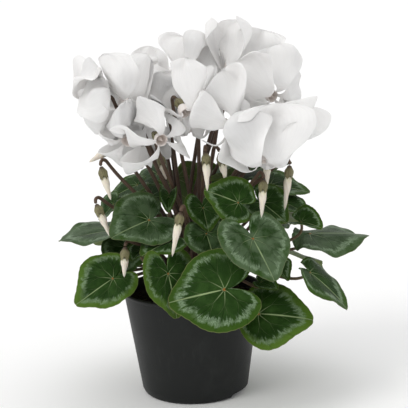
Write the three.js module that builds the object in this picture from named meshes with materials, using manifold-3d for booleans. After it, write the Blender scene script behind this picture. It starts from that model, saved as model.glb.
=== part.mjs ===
// A white florist's cyclamen in its plain black nursery pot, with silver-marked heart-shaped leaves.
// Millimetres, +Z up. The origin is the middle of the pot's foot, and the side that is seen faces -Y.
// Pot, soil and tuber carry one crown of stalks and stems; every blade, bloom and bud is its own solid.

import * as THREE from 'three';
import { mergeVertices } from 'three/addons/utils/BufferGeometryUtils.js';
import Module from 'manifold-3d';

const wasm = await Module();
wasm.setup();

// Driving dimensions

const POT = { height: 93, rimRadius: 60, footRadius: 46, wall: 1.8, sides: 32, lip: 1.2, lipHeight: 3.5 };
const FOOT = { height: 4, ringWidth: 9, bevel: 4, padRadius: 13, sunk: 2, floor: 2 };
const HOLE = { count: 4, radius: 3.5, ring: 27, sides: 6 };
const NOTCH = { middles: [-27, 153], span: 37, height: 3.8 };
const SOIL = { top: 82, bottom: 6.4, wallGap: 0.4, lump: 1.1, rings: 3, sides: 24 };
const TUBER = { radius: 25, top: 96, half: 15, sides: 12, gap: 0.4 };
const CROWN = { radius: 15, taper: 0.8, bottom: 96.4, top: 104, sides: 10 };

const BLADE = { thickness: 0.8, edgePoints: 18, innerRing: 0.55, scallop: 0.03, stalkGap: 0.5 };
const MARGIN = { body: 0.74, ahead: 0.05, tip: 0.21, tipWidth: 19, lobesFrom: 60, lobesOver: 90 };
const SINUS = { depth: 0.88, width: 20 };
const STALK = { foot: 1.6, tip: 1.2, sides: 4, steps: 3, ring: 12.5, leave: 0.4, arrive: 0.25 };

const FLOWER_STEM = { foot: 1.8, neck: 1.4, sides: 4, steps: 3, ring: 8.5, leave: 0.4, arrive: 0.35 };
const HOOK = { radius: 5, steps: 3 };
const CALYX = { length: 9, gap: 0.3, places: [0.35, 0.75, 1], radii: [3.1, 3.9, 3.3] };
const THROAT = { length: 8.6, back: 3.2, radius: 5.4, belly: 3, depth: 4, sides: 7 };
const PETAL = { thickness: 0.7, root: 4.6, behind: 1.5, turn: 0.3, steps: 24, columns: 3 };
const PETAL_PLACE = { firstAt: 48, apart: 66, spread: 2.4 };
const PETAL_STATIONS = [0, 0.16, 0.34, 0.66, 1];
const PETAL_EDGE = { narrow: 0.05, from: 0.03, over: 0.7, shoulder: 0.66, rounding: 0.78 };
const PETAL_WAVE = { height: 0.16, turns: 3.4, hollow: 0.3, middle: 0.3, unlike: 10 };
const BUD = { radius: 3.2, tip: 0.84, taper: 1.6, sides: 5, steps: 2 };

// How far petals keep from the half-way planes to their neighbours, from stems and from the hook.
const CLEAR = { cell: 0.6, stem: 2.5, hook: 8.5, hookFrom: 1, hookOver: 7, soft: 0.25, push: 4 };
const CROWDING = { power: 10, free: 0.8 };

// Where a bloom's middle lies behind its mouth, as a share of a petal.
const BLOOM_MIDDLE = 0.35;

const COLOURS = {
  pot: { color: 0x2b2d2d, roughness: 0.55, metalness: 0 },
  soil: { color: 0x2a211a, roughness: 1, metalness: 0 },
  tuber: { color: 0x5a4432, roughness: 0.95, metalness: 0 },
  stem: { color: 0x53382a, roughness: 0.6, metalness: 0 },
  leaf: { color: 0x2f5a2c, roughness: 0.5, metalness: 0 },
  petal: { color: 0xe6e5e1, roughness: 0.65, metalness: 0 },
  bud: { color: 0xe9ddc8, roughness: 0.6, metalness: 0 },
};

// Leaves: root is where the stalk meets the blade and tip is where the midrib ends. turn rolls the
// blade about its midrib in degrees, fold lifts its halves, cup bends them on and arch bends the
// midrib down, all in radians; wave is the rise of the margin as a share of the length and back is
// the share that the back lobes keep. LEAF has what a row leaves out, and LEAF_SPREAD sets one leaf's
// ripples apart from the next one's.

const LEAF = { back: 1, turn: 0, fold: 0.2, cup: -0.3, arch: 0.2, wave: 0.03, waves: 5 };
const LEAF_SPREAD = 2.4;

const LEAVES = [
  { root: [27, -97, 115], tip: [-19, -99, 107], turn: -62, fold: 0.12 },
  { root: [51, -84, 153], tip: [67, -108, 124], turn: 8, fold: 0.1, cup: -0.15, arch: 0.1, wave: 0.02 },
  { root: [54, -77, 88], tip: [99, -84, 86], back: 0.6, turn: 43, fold: 0.1, cup: -0.35, wave: 0.02 },
  { root: [-64, -61, 118], tip: [-95, -74, 101], back: 0.8, turn: -38, fold: 0.32, cup: -0.4, wave: 0.05 },
  { root: [-18, -82, 126], tip: [-11, -92, 91], turn: -6, fold: 0.15, cup: -0.2, arch: 0.1, wave: 0.02 },
  { root: [-33, -42, 162], tip: [-63, -68, 156], turn: -36, fold: 0.25, arch: 0.15 },
  { root: [12, -47, 172], tip: [16, -62, 155], fold: 0.4, arch: 0.1, wave: 0.02 },
  { root: [41, -62, 178], tip: [14, -65, 191], back: 0.8, turn: -55, fold: 0.1, cup: 0.1, arch: 0.1 },
  { root: [-67, -4, 146], tip: [-118, -16, 143], back: 0.8, fold: 0.15, wave: 0.05 },
  { root: [103, -8, 138], tip: [156, -14, 140], back: 0.5, turn: 4, fold: -0.08, cup: -0.33, wave: 0.07 },
  { root: [98, -59, 117], tip: [132, -63, 88], back: 0.4, turn: 8, fold: 0.13, cup: -0.34, arch: 0.15 },
  { root: [72, 24, 176], tip: [107, 20, 171], turn: 12, cup: -0.2 },
  { root: [83, 2, 164], tip: [105, -6, 154], turn: 8, fold: 0.25, cup: -0.2 },
  { root: [93, -44, 156], tip: [109, -58, 156], turn: 24, fold: 0.4, cup: 0.5, arch: 0.3, wave: 0.05 },
  { root: [-44, 8, 183], tip: [-71, 4, 173], back: 0.6, turn: -14 },
  { root: [-16, -36, 180], tip: [-17, -48, 171], fold: 0.5, cup: 0.9, arch: 0.4, wave: 0.06 },
  { root: [-15, -56, 147], tip: [-39, -77, 142], back: 0.5, turn: -10 },
  { root: [67, -52, 126], tip: [81, -65, 113], back: 0.6, fold: 0.3, cup: -0.2 },
  { root: [-41, -52, 138], tip: [-48, -64, 134], turn: -10, fold: 0.4 },
  { root: [62, -26, 170], tip: [82, -40, 156], turn: 30, fold: 0.3, cup: -0.2 },
  { root: [2, 64, 138], tip: [6, 108, 118], back: 0.8 },
  { root: [-54, 48, 139], tip: [-88, 80, 118], back: 0.8 },
  { root: [66, 54, 146], tip: [98, 84, 130], back: 0.6 },
  { root: [-36, 74, 112], tip: [-52, 112, 92] },
  { root: [38, 80, 108], tip: [54, 118, 88], back: 0.8 },
  { root: [-68, 22, 116], tip: [-103, 34, 99] },
  { root: [84, 36, 112], tip: [120, 56, 94] },
  { root: [28, 36, 170], tip: [44, 62, 184] },
  { root: [-34, 34, 168], tip: [-52, 56, 184] },
  { root: [57, -71, 113], tip: [71, -77, 109], back: 0.6, turn: 30, fold: 0.5, cup: -0.2 },
];

const BLOOM = { twist: 40, curl: 0.5 };
const BLOOM_SPREAD = 1.7;

// Blooms: mouth is the middle of the flower's mouth, facing and dip are the degrees that it looks
// round from +X and down from level, length and width size a petal, reflex is how far it turns back
// and twist how far it turns about itself, and curl bends it on. BLOOM has what a row leaves out.

const BLOOMS = [
  { mouth: [-48, -58, 231], facing: -118, dip: 27, length: 54, width: 51, reflex: 116, twist: 24 },
  { mouth: [-19, -72, 233], facing: -69, dip: 12, length: 60, width: 39, reflex: 142, twist: 44 },
  { mouth: [62, -74, 213], facing: -70, dip: 62, length: 60, width: 51, reflex: 150, twist: 20 },
  { mouth: [-82, -36, 260], facing: -180, dip: 19, length: 44, width: 48, reflex: 140, twist: 30 },
  { mouth: [-49, -41, 257], facing: -81, dip: 59, length: 59, width: 52, reflex: 139, twist: 20 },
  { mouth: [1, -55, 252], facing: -56, dip: 37, length: 56, width: 36, reflex: 115, twist: 52 },
  { mouth: [37, -66, 241], facing: -62, dip: 10, length: 51, width: 39, reflex: 115, twist: 43 },
  { mouth: [3, -30, 233], facing: -136, dip: 78, length: 44, width: 36, reflex: 150, twist: 24 },
  { mouth: [85, -41, 226], facing: -38, dip: 18, length: 60, width: 38, reflex: 125, twist: 52 },
  { mouth: [73, -31, 260], facing: -51, dip: 20, length: 48, width: 46, reflex: 131, twist: 24 },
  { mouth: [39, -5, 282], facing: -125, dip: 65, length: 56, width: 38, reflex: 152, twist: 52 },
  { mouth: [8, 1, 277], facing: -131, dip: 50, length: 47, width: 36, reflex: 152, twist: 44 },
  { mouth: [-30, 3, 211], facing: -104, dip: 80, length: 45, width: 43, reflex: 147, twist: 20 },
  { mouth: [-26, 46, 256], facing: 110, dip: 45, length: 50, width: 42, reflex: 145, twist: 40 },
  { mouth: [54, 46, 260], facing: 60, dip: 45, length: 50, width: 42, reflex: 145, twist: 40 },
];

// Buds: calyx is the point where the bud leaves it, and tip is where the bud ends.

const BUDS = [
  { calyx: [-69, -38, 199], tip: [-64, -42, 180] },
  { calyx: [-73, -44, 169], tip: [-65, -50, 150] },
  { calyx: [-53, -70, 137], tip: [-54, -74, 122] },
  { calyx: [-8, -82, 167], tip: [-14, -88, 141] },
  { calyx: [16, -64, 212], tip: [16, -71, 190] },
  { calyx: [29, -50, 209], tip: [32, -52, 193] },
  { calyx: [61, -68, 189], tip: [59, -72, 167] },
  { calyx: [66, -40, 203], tip: [66, -42, 188] },
  { calyx: [84, -36, 194], tip: [80, -38, 165] },
  { calyx: [-69, -22, 217], tip: [-82, -26, 210] },
  { calyx: [-21, -20, 205], tip: [-18, -22, 192] },
];

// Small numbers that shape curves

const UP = new THREE.Vector3(0, 0, 1);
const RADIANS = Math.PI / 180;

function vector(list) {
  return new THREE.Vector3(...list);
}

function smooth(value) {
  const share = Math.min(Math.max(value, 0), 1);
  return share * share * (3 - 2 * share);
}

// Solids and surfaces

function solidOf(geometry) {
  const bare = geometry.index ? geometry.toNonIndexed() : geometry.clone();
  bare.deleteAttribute('normal');
  bare.deleteAttribute('uv');
  const merged = mergeVertices(bare, 1e-4);
  const mesh = new wasm.Mesh({
    numProp: 3,
    vertProperties: new Float32Array(merged.attributes.position.array),
    triVerts: new Uint32Array(merged.index.array),
  });
  return new wasm.Manifold(mesh);
}

function geometryOf(solid) {
  const mesh = solid.getMesh();
  const geometry = new THREE.BufferGeometry();
  const places = new Float32Array(mesh.vertProperties);
  geometry.setAttribute('position', new THREE.BufferAttribute(places, 3));
  geometry.setIndex(Array.from(mesh.triVerts));
  return geometry;
}

function fuse(geometries) {
  let whole = solidOf(geometries[0]);
  for (const geometry of geometries.slice(1)) {
    whole = whole.add(solidOf(geometry));
  }
  return geometryOf(whole);
}

function cut(geometry, tools) {
  let whole = solidOf(geometry);
  for (const tool of tools) {
    whole = whole.subtract(solidOf(tool));
  }
  return geometryOf(whole);
}

function shell(points, faces) {
  const geometry = new THREE.BufferGeometry();
  const places = points.flatMap((point) => point.toArray());
  geometry.setAttribute('position', new THREE.Float32BufferAttribute(places, 3));
  geometry.setIndex(faces.flat());
  return geometry;
}

// Gives an open sheet of triangles its thickness: the same triangles on both faces, and a rim.
function thicken(points, faces, thickness) {
  const normals = points.map(() => new THREE.Vector3());
  const edges = new Map();
  for (const [a, b, c] of faces) {
    const one = points[b].clone().sub(points[a]);
    const two = points[c].clone().sub(points[a]);
    const normal = one.cross(two);
    [a, b, c].forEach((corner) => normals[corner].add(normal));
    for (const [from, to] of [[a, b], [b, c], [c, a]]) {
      if (!edges.delete(`${to} ${from}`)) {
        edges.set(`${from} ${to}`, [from, to]);
      }
    }
  }
  const count = points.length;
  const lift = (side) => points.map((p, i) => p.clone().addScaledVector(normals[i].normalize(), side));
  const both = [...lift(thickness / 2), ...lift(-thickness / 2)];
  const back = faces.map(([a, b, c]) => [a + count, c + count, b + count]);
  const rim = [];
  for (const [from, to] of edges.values()) {
    rim.push([from, from + count, to + count], [from, to + count, to]);
  }
  return shell(both, [...faces, ...back, ...rim]);
}

// A closed tube round a list of centres, with a radius at each. Its section is a regular polygon, and
// its last face looks along facing where that is given.
function sweep(centres, radii, sides, facing = null) {
  const points = [];
  const faces = [];
  let across = new THREE.Vector3(1, 0, 0);
  centres.forEach((centre, ring) => {
    const before = centres[Math.max(ring - 1, 0)];
    const after = centres[Math.min(ring + 1, centres.length - 1)];
    const last = ring === centres.length - 1;
    const along = last && facing ? facing.clone() : after.clone().sub(before).normalize();
    if (Math.abs(across.dot(along)) > 0.95) {
      across = new THREE.Vector3(0, 1, 0);
    }
    across = across.clone().addScaledVector(along, -across.dot(along)).normalize();
    const other = along.clone().cross(across);
    for (let side = 0; side < sides; side += 1) {
      const angle = (2 * Math.PI * side) / sides;
      const point = centre.clone().addScaledVector(across, radii[ring] * Math.cos(angle));
      points.push(point.addScaledVector(other, radii[ring] * Math.sin(angle)));
    }
  });
  for (let ring = 0; ring < centres.length - 1; ring += 1) {
    for (let side = 0; side < sides; side += 1) {
      const a = ring * sides + side;
      const b = ring * sides + ((side + 1) % sides);
      faces.push([a, b, b + sides], [a, b + sides, a + sides]);
    }
  }
  const last = (centres.length - 1) * sides;
  for (let side = 1; side < sides - 1; side += 1) {
    faces.push([0, side + 1, side], [last, last + side, last + side + 1]);
  }
  return shell(points, faces);
}

// A lathe turned to stand on +Z from a closed profile of [radius, height] pairs.
function turned(profile, sides) {
  const outline = [...profile, profile[0]].map(([radius, height]) => new THREE.Vector2(radius, height));
  return new THREE.LatheGeometry(outline, sides).rotateX(Math.PI / 2);
}

// Pot, soil, tuber and crown

function wallRadius(height) {
  return POT.footRadius + ((POT.rimRadius - POT.footRadius) * height) / POT.height;
}

function potGeometry() {
  const shoulder = POT.height - POT.lipHeight;
  const floorTop = FOOT.height + FOOT.floor;
  const inner = POT.footRadius - FOOT.ringWidth;
  const wall = turned([
    [inner, 0],
    [POT.footRadius - FOOT.bevel, 0],
    [POT.footRadius - FOOT.bevel * 0.35, FOOT.bevel * 0.3],
    [wallRadius(FOOT.bevel), FOOT.bevel],
    [wallRadius(shoulder), shoulder],
    [wallRadius(shoulder) + POT.lip, shoulder + POT.lip],
    [POT.rimRadius + POT.lip, POT.height],
    [POT.rimRadius - POT.wall, POT.height],
    [wallRadius(floorTop) - POT.wall, floorTop],
    [FOOT.padRadius - FOOT.sunk, floorTop],
    [FOOT.padRadius - FOOT.sunk, FOOT.height],
    [inner, FOOT.height],
  ], POT.sides);
  const pad = new THREE.CylinderGeometry(FOOT.padRadius, FOOT.padRadius, floorTop, POT.sides / 2);
  pad.rotateX(Math.PI / 2).translate(0, 0, floorTop / 2);
  const chord = 2 * POT.footRadius * Math.sin((NOTCH.span / 2) * RADIANS);
  const notches = NOTCH.middles.map((middle) => {
    const tool = new THREE.BoxGeometry(FOOT.ringWidth * 2, chord, NOTCH.height * 2);
    return tool.translate(POT.footRadius, 0, 0).rotateZ(middle * RADIANS);
  });
  const holes = Array.from({ length: HOLE.count }, (_, index) => {
    const tool = new THREE.CylinderGeometry(HOLE.radius, HOLE.radius, floorTop * 2, HOLE.sides);
    tool.rotateX(Math.PI / 2).translate(HOLE.ring, 0, floorTop);
    return tool.rotateZ(((index + 0.5) * 2 * Math.PI) / HOLE.count);
  });
  return cut(fuse([wall, pad]), [...notches, ...holes]);
}

function tuberGeometry(grown) {
  const ball = new THREE.SphereGeometry(1, TUBER.sides, TUBER.sides / 2).rotateX(Math.PI / 2);
  ball.scale(TUBER.radius + grown, TUBER.radius + grown, TUBER.half + grown);
  return ball.translate(0, 0, TUBER.top - TUBER.half);
}

function soilHeight(x, y) {
  const lumps = Math.sin(x * 0.29 + 1) * Math.sin(y * 0.33) + 0.6 * Math.sin(x * 0.61 - y * 0.52);
  return SOIL.top + SOIL.lump * lumps;
}

function soilGeometry() {
  const points = [new THREE.Vector3(0, 0, soilHeight(0, 0))];
  const faces = [];
  const edge = wallRadius(SOIL.top) - POT.wall - SOIL.wallGap;
  const foot = wallRadius(SOIL.bottom) - POT.wall - SOIL.wallGap;
  const addRing = (radius, height) => {
    for (let side = 0; side < SOIL.sides; side += 1) {
      const angle = (2 * Math.PI * side) / SOIL.sides;
      const x = radius * Math.cos(angle);
      const y = radius * Math.sin(angle);
      points.push(new THREE.Vector3(x, y, height(x, y)));
    }
  };
  for (let ring = 1; ring < SOIL.rings; ring += 1) {
    addRing((edge * ring) / SOIL.rings, soilHeight);
  }
  addRing(edge, () => SOIL.top);
  addRing(foot, () => SOIL.bottom);
  points.push(new THREE.Vector3(0, 0, SOIL.bottom));
  for (let side = 0; side < SOIL.sides; side += 1) {
    const next = (side + 1) % SOIL.sides;
    faces.push([0, 1 + side, 1 + next]);
    for (let ring = 0; ring < SOIL.rings; ring += 1) {
      const a = 1 + ring * SOIL.sides;
      faces.push([a + side, a + SOIL.sides + side, a + SOIL.sides + next]);
      faces.push([a + side, a + SOIL.sides + next, a + next]);
    }
    const last = 1 + SOIL.rings * SOIL.sides;
    faces.push([points.length - 1, last + next, last + side]);
  }
  return cut(shell(points, faces), [tuberGeometry(TUBER.gap)]);
}

function crownGeometry() {
  const height = CROWN.top - CROWN.bottom;
  const knob = new THREE.CylinderGeometry(CROWN.radius * CROWN.taper, CROWN.radius, height, CROWN.sides);
  return knob.rotateX(Math.PI / 2).translate(0, 0, (CROWN.top + CROWN.bottom) / 2);
}

// Leaf blades and stalks

// The margin's reach from the root towards an angle from the tip, as a share of the length:
// nearly round, drawn out at the tip and cut in at the back where the stalk joins.
function marginReach(leaf, angle) {
  const fromTip = Math.abs(Math.atan2(Math.sin(angle), Math.cos(angle))) / RADIANS;
  const point = MARGIN.tip * Math.exp(-((fromTip / MARGIN.tipWidth) ** 2));
  const body = MARGIN.body + MARGIN.ahead * Math.cos(angle) + point;
  const lobes = 1 - (1 - leaf.back) * smooth((fromTip - MARGIN.lobesFrom) / MARGIN.lobesOver);
  const notch = SINUS.depth * Math.exp(-(((180 - fromTip) / SINUS.width) ** 2));
  return body * lobes * (1 - notch);
}

function leafFrame(leaf) {
  const root = vector(leaf.root);
  const along = vector(leaf.tip).sub(root);
  const length = along.length();
  along.normalize();
  const level = UP.clone().cross(along).normalize();
  const upright = along.clone().cross(level);
  const turn = leaf.turn * RADIANS;
  const across = level.clone().multiplyScalar(Math.cos(turn)).addScaledVector(upright, Math.sin(turn));
  return { root, along, across, normal: along.clone().cross(across), length };
}

function bladePoint(leaf, frame, share, angle, tooth) {
  const reach = share * marginReach(leaf, angle) * frame.length * tooth;
  const side = Math.abs(reach * Math.sin(angle)) / frame.length;
  const ahead = (reach * Math.cos(angle)) / frame.length;
  const lift = leaf.fold + leaf.cup * side;
  const half = (Math.sin(lift) - Math.sin(leaf.fold)) / leaf.cup;
  const rise = (Math.cos(leaf.fold) - Math.cos(lift)) / leaf.cup;
  const ripple = leaf.wave * share ** 3 * Math.sin(leaf.waves * angle + leaf.phase);
  const bend = leaf.arch * ahead;
  const out = Math.sin(bend) / leaf.arch + (rise + ripple) * Math.sin(bend);
  const up = -(1 - Math.cos(bend)) / leaf.arch + (rise + ripple) * Math.cos(bend);
  return frame.root.clone()
    .addScaledVector(frame.along, frame.length * out)
    .addScaledVector(frame.across, frame.length * half * Math.sign(Math.sin(angle)))
    .addScaledVector(frame.normal, frame.length * up);
}

function bladeGeometry(leaf) {
  const frame = leafFrame(leaf);
  const outer = BLADE.edgePoints;
  const inner = outer / 2;
  const points = [frame.root.clone()];
  const faces = [];
  for (let index = 0; index < inner; index += 1) {
    points.push(bladePoint(leaf, frame, BLADE.innerRing, (2 * Math.PI * index) / inner, 1));
  }
  for (let index = 0; index < outer; index += 1) {
    const tooth = index % 2 === 0 ? 1 : 1 - BLADE.scallop;
    points.push(bladePoint(leaf, frame, 1, (2 * Math.PI * index) / outer, tooth));
  }
  for (let index = 0; index < inner; index += 1) {
    const a = 1 + index;
    const b = 1 + ((index + 1) % inner);
    const c = 1 + inner + index * 2;
    const d = 1 + inner + ((index * 2 + 2) % outer);
    faces.push([0, a, b], [a, c, c + 1], [a, c + 1, b], [b, c + 1, d]);
  }
  return thicken(points, faces, BLADE.thickness);
}

// Feet evenly round the crown, in the order in which the tops stand round the plant.
function feetFor(tops, ring, height) {
  const order = tops.map((_, index) => index);
  order.sort((one, two) => Math.atan2(tops[one].y, tops[one].x) - Math.atan2(tops[two].y, tops[two].x));
  const feet = [];
  order.forEach((index, place) => {
    const angle = (2 * Math.PI * place) / tops.length - Math.PI;
    feet[index] = new THREE.Vector3(ring * Math.cos(angle), ring * Math.sin(angle), height);
  });
  return feet;
}

function bezier(start, startPull, endPull, end, steps) {
  return new THREE.CubicBezierCurve3(start, startPull, endPull, end).getPoints(steps);
}

// Flower stems: each rises from the crown, hooks over inside its flower and ends in the calyx

// The hook lies in the plane of the flower's axis and its stem's foot, so that the flower's
// petals can leave one gap for it.
function hookedStem(calyxTop, axis, foot) {
  const toFoot = foot.clone().sub(calyxTop);
  const inward = toFoot.clone().addScaledVector(axis, -toFoot.dot(axis)).normalize();
  const rising = toFoot.clone().normalize().negate();
  const turn = Math.atan2(-rising.dot(inward), rising.dot(axis));
  const centre = calyxTop.clone().addScaledVector(inward, HOOK.radius);
  const hook = [];
  for (let step = HOOK.steps; step >= 0; step -= 1) {
    const angle = (turn * step) / HOOK.steps;
    const point = centre.clone().addScaledVector(inward, -HOOK.radius * Math.cos(angle));
    hook.push(point.addScaledVector(axis, -HOOK.radius * Math.sin(angle)));
  }
  const start = hook[0];
  const away = axis.clone().multiplyScalar(Math.cos(turn)).addScaledVector(inward, -Math.sin(turn));
  const reach = start.distanceTo(foot);
  const pull = start.clone().addScaledVector(away, -reach * FLOWER_STEM.arrive);
  const lift = foot.clone().addScaledVector(UP, reach * FLOWER_STEM.leave);
  const rise = bezier(foot, lift, pull, start, FLOWER_STEM.steps);
  return { centres: [...rise, ...hook.slice(1)], inward };
}

function stemGeometry(stem, axis) {
  const count = stem.centres.length;
  const radii = stem.centres.map((_, index) => {
    const share = Math.min(index / FLOWER_STEM.steps, 1);
    return FLOWER_STEM.foot + (FLOWER_STEM.neck - FLOWER_STEM.foot) * share;
  });
  const top = stem.centres[count - 1];
  const cup = CALYX.places.map((share) => top.clone().addScaledVector(axis, CALYX.length * share));
  return sweep([...stem.centres, ...cup], [...radii, ...CALYX.radii], FLOWER_STEM.sides);
}

// Blooms

function bloomFrame(bloom, foot) {
  const mouth = vector(bloom.mouth);
  const facing = bloom.facing * RADIANS;
  const dip = bloom.dip * RADIANS;
  const level = Math.cos(dip);
  const axis = new THREE.Vector3(level * Math.cos(facing), level * Math.sin(facing), -Math.sin(dip));
  const calyxEnd = mouth.clone().addScaledVector(axis, -THROAT.length - CALYX.gap);
  const calyxTop = calyxEnd.clone().addScaledVector(axis, -CALYX.length);
  const stem = hookedStem(calyxTop, axis, foot);
  const inward = stem.inward;
  const middle = mouth.clone().addScaledVector(axis, -bloom.length * BLOOM_MIDDLE);
  return { mouth, axis, inward, side: axis.clone().cross(inward), middle, stem };
}

// Planes that a bloom stays behind: half way to each neighbour, and short of each other stem.
function boundsOf(frames, others, index) {
  const { middle } = frames[index];
  const planes = [];
  const addPlane = (point, share, clear) => {
    const toward = point.clone().sub(middle);
    const distance = toward.length();
    planes.push({ normal: toward.divideScalar(distance), reach: distance * share - clear });
  };
  frames.forEach((frame, other) => {
    if (other !== index) {
      addPlane(frame.middle, 0.5, CLEAR.cell);
      addPlane(nearestOn(frame.stem.centres, middle), 1, CLEAR.stem);
    }
  });
  others.forEach((centres) => addPlane(nearestOn(centres, middle), 1, CLEAR.stem));
  return planes;
}

function nearestOn(centres, point) {
  let best = centres[0];
  const line = new THREE.Line3();
  for (let index = 1; index < centres.length; index += 1) {
    line.set(centres[index - 1], centres[index]);
    const near = line.closestPointToPoint(point, true, new THREE.Vector3());
    if (near.distanceTo(point) < best.distanceTo(point)) {
      best = near;
    }
  }
  return best;
}

// Draws a point in toward the bloom's middle, the harder the nearer it comes to a plane.
function drawnIn(point, middle, planes) {
  const offset = point.clone().sub(middle);
  const distance = offset.length();
  const crowd = planes.reduce((sum, plane) => {
    const lean = Math.max(offset.dot(plane.normal) / distance, 0) / plane.reach;
    return sum + lean ** CROWDING.power;
  }, 0);
  const limit = crowd > 0 ? crowd ** (-1 / CROWDING.power) : Infinity;
  const share = distance / limit;
  const rest = 1 - CROWDING.free;
  const eased = CROWDING.free + rest * Math.tanh((share - CROWDING.free) / rest);
  const kept = share < CROWDING.free ? share : eased;
  return share > 0 ? middle.clone().addScaledVector(offset, kept / share) : point;
}

// A petal's midline leaves the mouth outward, turns back over itself and runs on straight; it is
// found by adding up short steps along its direction.
function petalMidline(bloom, share) {
  const { steps } = PETAL;
  let radius = PETAL.root;
  let ahead = -PETAL.behind;
  let angle = 0;
  for (let step = 0; step < steps; step += 1) {
    const at = ((step + 0.5) / steps) * share;
    angle = bloom.reflex * RADIANS * Math.min(at / PETAL.turn, 1);
    angle += bloom.curl * Math.max(at - PETAL.turn, 0);
    radius += (Math.sin(angle) * bloom.length * share) / steps;
    ahead += (Math.cos(angle) * bloom.length * share) / steps;
  }
  return { radius, ahead, angle };
}

function petalHalfWidth(share) {
  const { narrow, from, over, shoulder, rounding } = PETAL_EDGE;
  const spread = narrow + (1 - narrow) * smooth((share - from) / over);
  const past = Math.max(share - shoulder, 0) / (1 - shoulder);
  return 0.5 * spread * Math.sqrt(1 - rounding * past * past);
}

function petalPoint(bloom, frame, petal, share, across) {
  const line = petalMidline(bloom, share);
  const half = bloom.width * petalHalfWidth(share);
  const own = petal * PETAL_PLACE.spread + bloom.phase;
  const twist = (bloom.twist + PETAL_WAVE.unlike * Math.sin(own)) * RADIANS * smooth(share * 3);
  const ripple = PETAL_WAVE.height * Math.sin(PETAL_WAVE.turns * across + own);
  const hollow = PETAL_WAVE.hollow * (across * across - PETAL_WAVE.middle);
  const lift = half * smooth(share) * (ripple + hollow);
  const sideways = half * across * Math.cos(twist) - lift * Math.sin(twist);
  const outward = half * across * Math.sin(twist) + lift * Math.cos(twist);
  const radius = line.radius + outward * Math.cos(line.angle);
  const ahead = line.ahead - outward * Math.sin(line.angle);
  const around = (PETAL_PLACE.firstAt + PETAL_PLACE.apart * petal) * RADIANS;
  const clear = CLEAR.hook * smooth((-ahead - CLEAR.hookFrom) / CLEAR.hookOver);
  const pushed = (Math.hypot(radius, sideways) ** CLEAR.push + clear ** CLEAR.push) ** (1 / CLEAR.push);
  const guard = Math.asin(Math.min(CLEAR.stem / Math.max(pushed, CLEAR.stem), 1));
  const angle = keptBetween(around + Math.atan2(sideways, radius), guard, 2 * Math.PI - guard);
  return frame.mouth.clone()
    .addScaledVector(frame.inward, pushed * Math.cos(angle))
    .addScaledVector(frame.side, pushed * Math.sin(angle))
    .addScaledVector(frame.axis, ahead);
}

// Leaves an angle as it is in the middle of its range and eases it to the range's ends.
function keptBetween(angle, low, high) {
  const { soft } = CLEAR;
  const above = low + soft * Math.log(1 + Math.exp((angle - low) / soft));
  return high - soft * Math.log(1 + Math.exp((high - above) / soft));
}

function petalGeometry(bloom, frame, petal, planes) {
  const points = [];
  const faces = [];
  const row = PETAL.columns + 1;
  PETAL_STATIONS.forEach((share) => {
    for (let column = 0; column < row; column += 1) {
      const across = (2 * column) / PETAL.columns - 1;
      const point = petalPoint(bloom, frame, petal, share, across);
      points.push(drawnIn(point, frame.middle, planes));
    }
  });
  for (let along = 0; along < PETAL_STATIONS.length - 1; along += 1) {
    for (let column = 0; column < PETAL.columns; column += 1) {
      const a = along * row + column;
      faces.push([a, a + row, a + row + 1], [a, a + row + 1, a + 1]);
    }
  }
  return thicken(points, faces, PETAL.thickness);
}

function throatGeometry(frame) {
  const profile = [
    [0, -THROAT.length],
    [THROAT.back, -THROAT.length],
    [THROAT.radius, -THROAT.belly],
    [THROAT.radius, 0],
    [0, -THROAT.depth],
  ].map(([radius, height]) => new THREE.Vector2(radius, height));
  const cup = new THREE.LatheGeometry(profile, THROAT.sides).rotateX(Math.PI / 2);
  const turn = new THREE.Quaternion().setFromUnitVectors(UP, frame.axis);
  return cup.applyQuaternion(turn).translate(...frame.mouth.toArray());
}

function bloomGeometry(bloom, frame, planes) {
  const petals = [0, 1, 2, 3, 4].map((petal) => petalGeometry(bloom, frame, petal, planes));
  return fuse([throatGeometry(frame), ...petals]);
}

// Buds: a furled spindle with five blunt turns of petal edge, hanging from its calyx

function budGeometry(start, end) {
  const axis = end.clone().sub(start);
  const centres = [];
  const radii = [];
  for (let step = 0; step <= BUD.steps; step += 1) {
    const share = step / BUD.steps;
    centres.push(start.clone().addScaledVector(axis, share));
    radii.push(BUD.radius + (BUD.tip - BUD.radius) * share ** BUD.taper);
  }
  return sweep(centres, radii, BUD.sides);
}

// Assembly

const group = new THREE.Group();

function addPart(name, geometry, look) {
  const mesh = new THREE.Mesh(geometry, new THREE.MeshStandardMaterial(look));
  mesh.name = name;
  group.add(mesh);
}

function numbered(stem, index) {
  return `${stem}_${String(index + 1).padStart(2, '0')}`;
}

function stalkGeometry(leaf, foot) {
  const frame = leafFrame(leaf);
  const end = frame.root.clone().addScaledVector(frame.normal, -BLADE.stalkGap - BLADE.thickness / 2);
  const reach = end.distanceTo(foot);
  const outward = new THREE.Vector3(foot.x, foot.y, STALK.ring).normalize();
  const leave = foot.clone().addScaledVector(outward, reach * STALK.leave);
  const arrive = end.clone().addScaledVector(frame.normal, -reach * STALK.arrive);
  const centres = bezier(foot, leave, arrive, end, STALK.steps);
  const radii = centres.map((_, step) => STALK.foot + ((STALK.tip - STALK.foot) * step) / STALK.steps);
  return sweep(centres, radii, STALK.sides, frame.normal);
}

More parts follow.
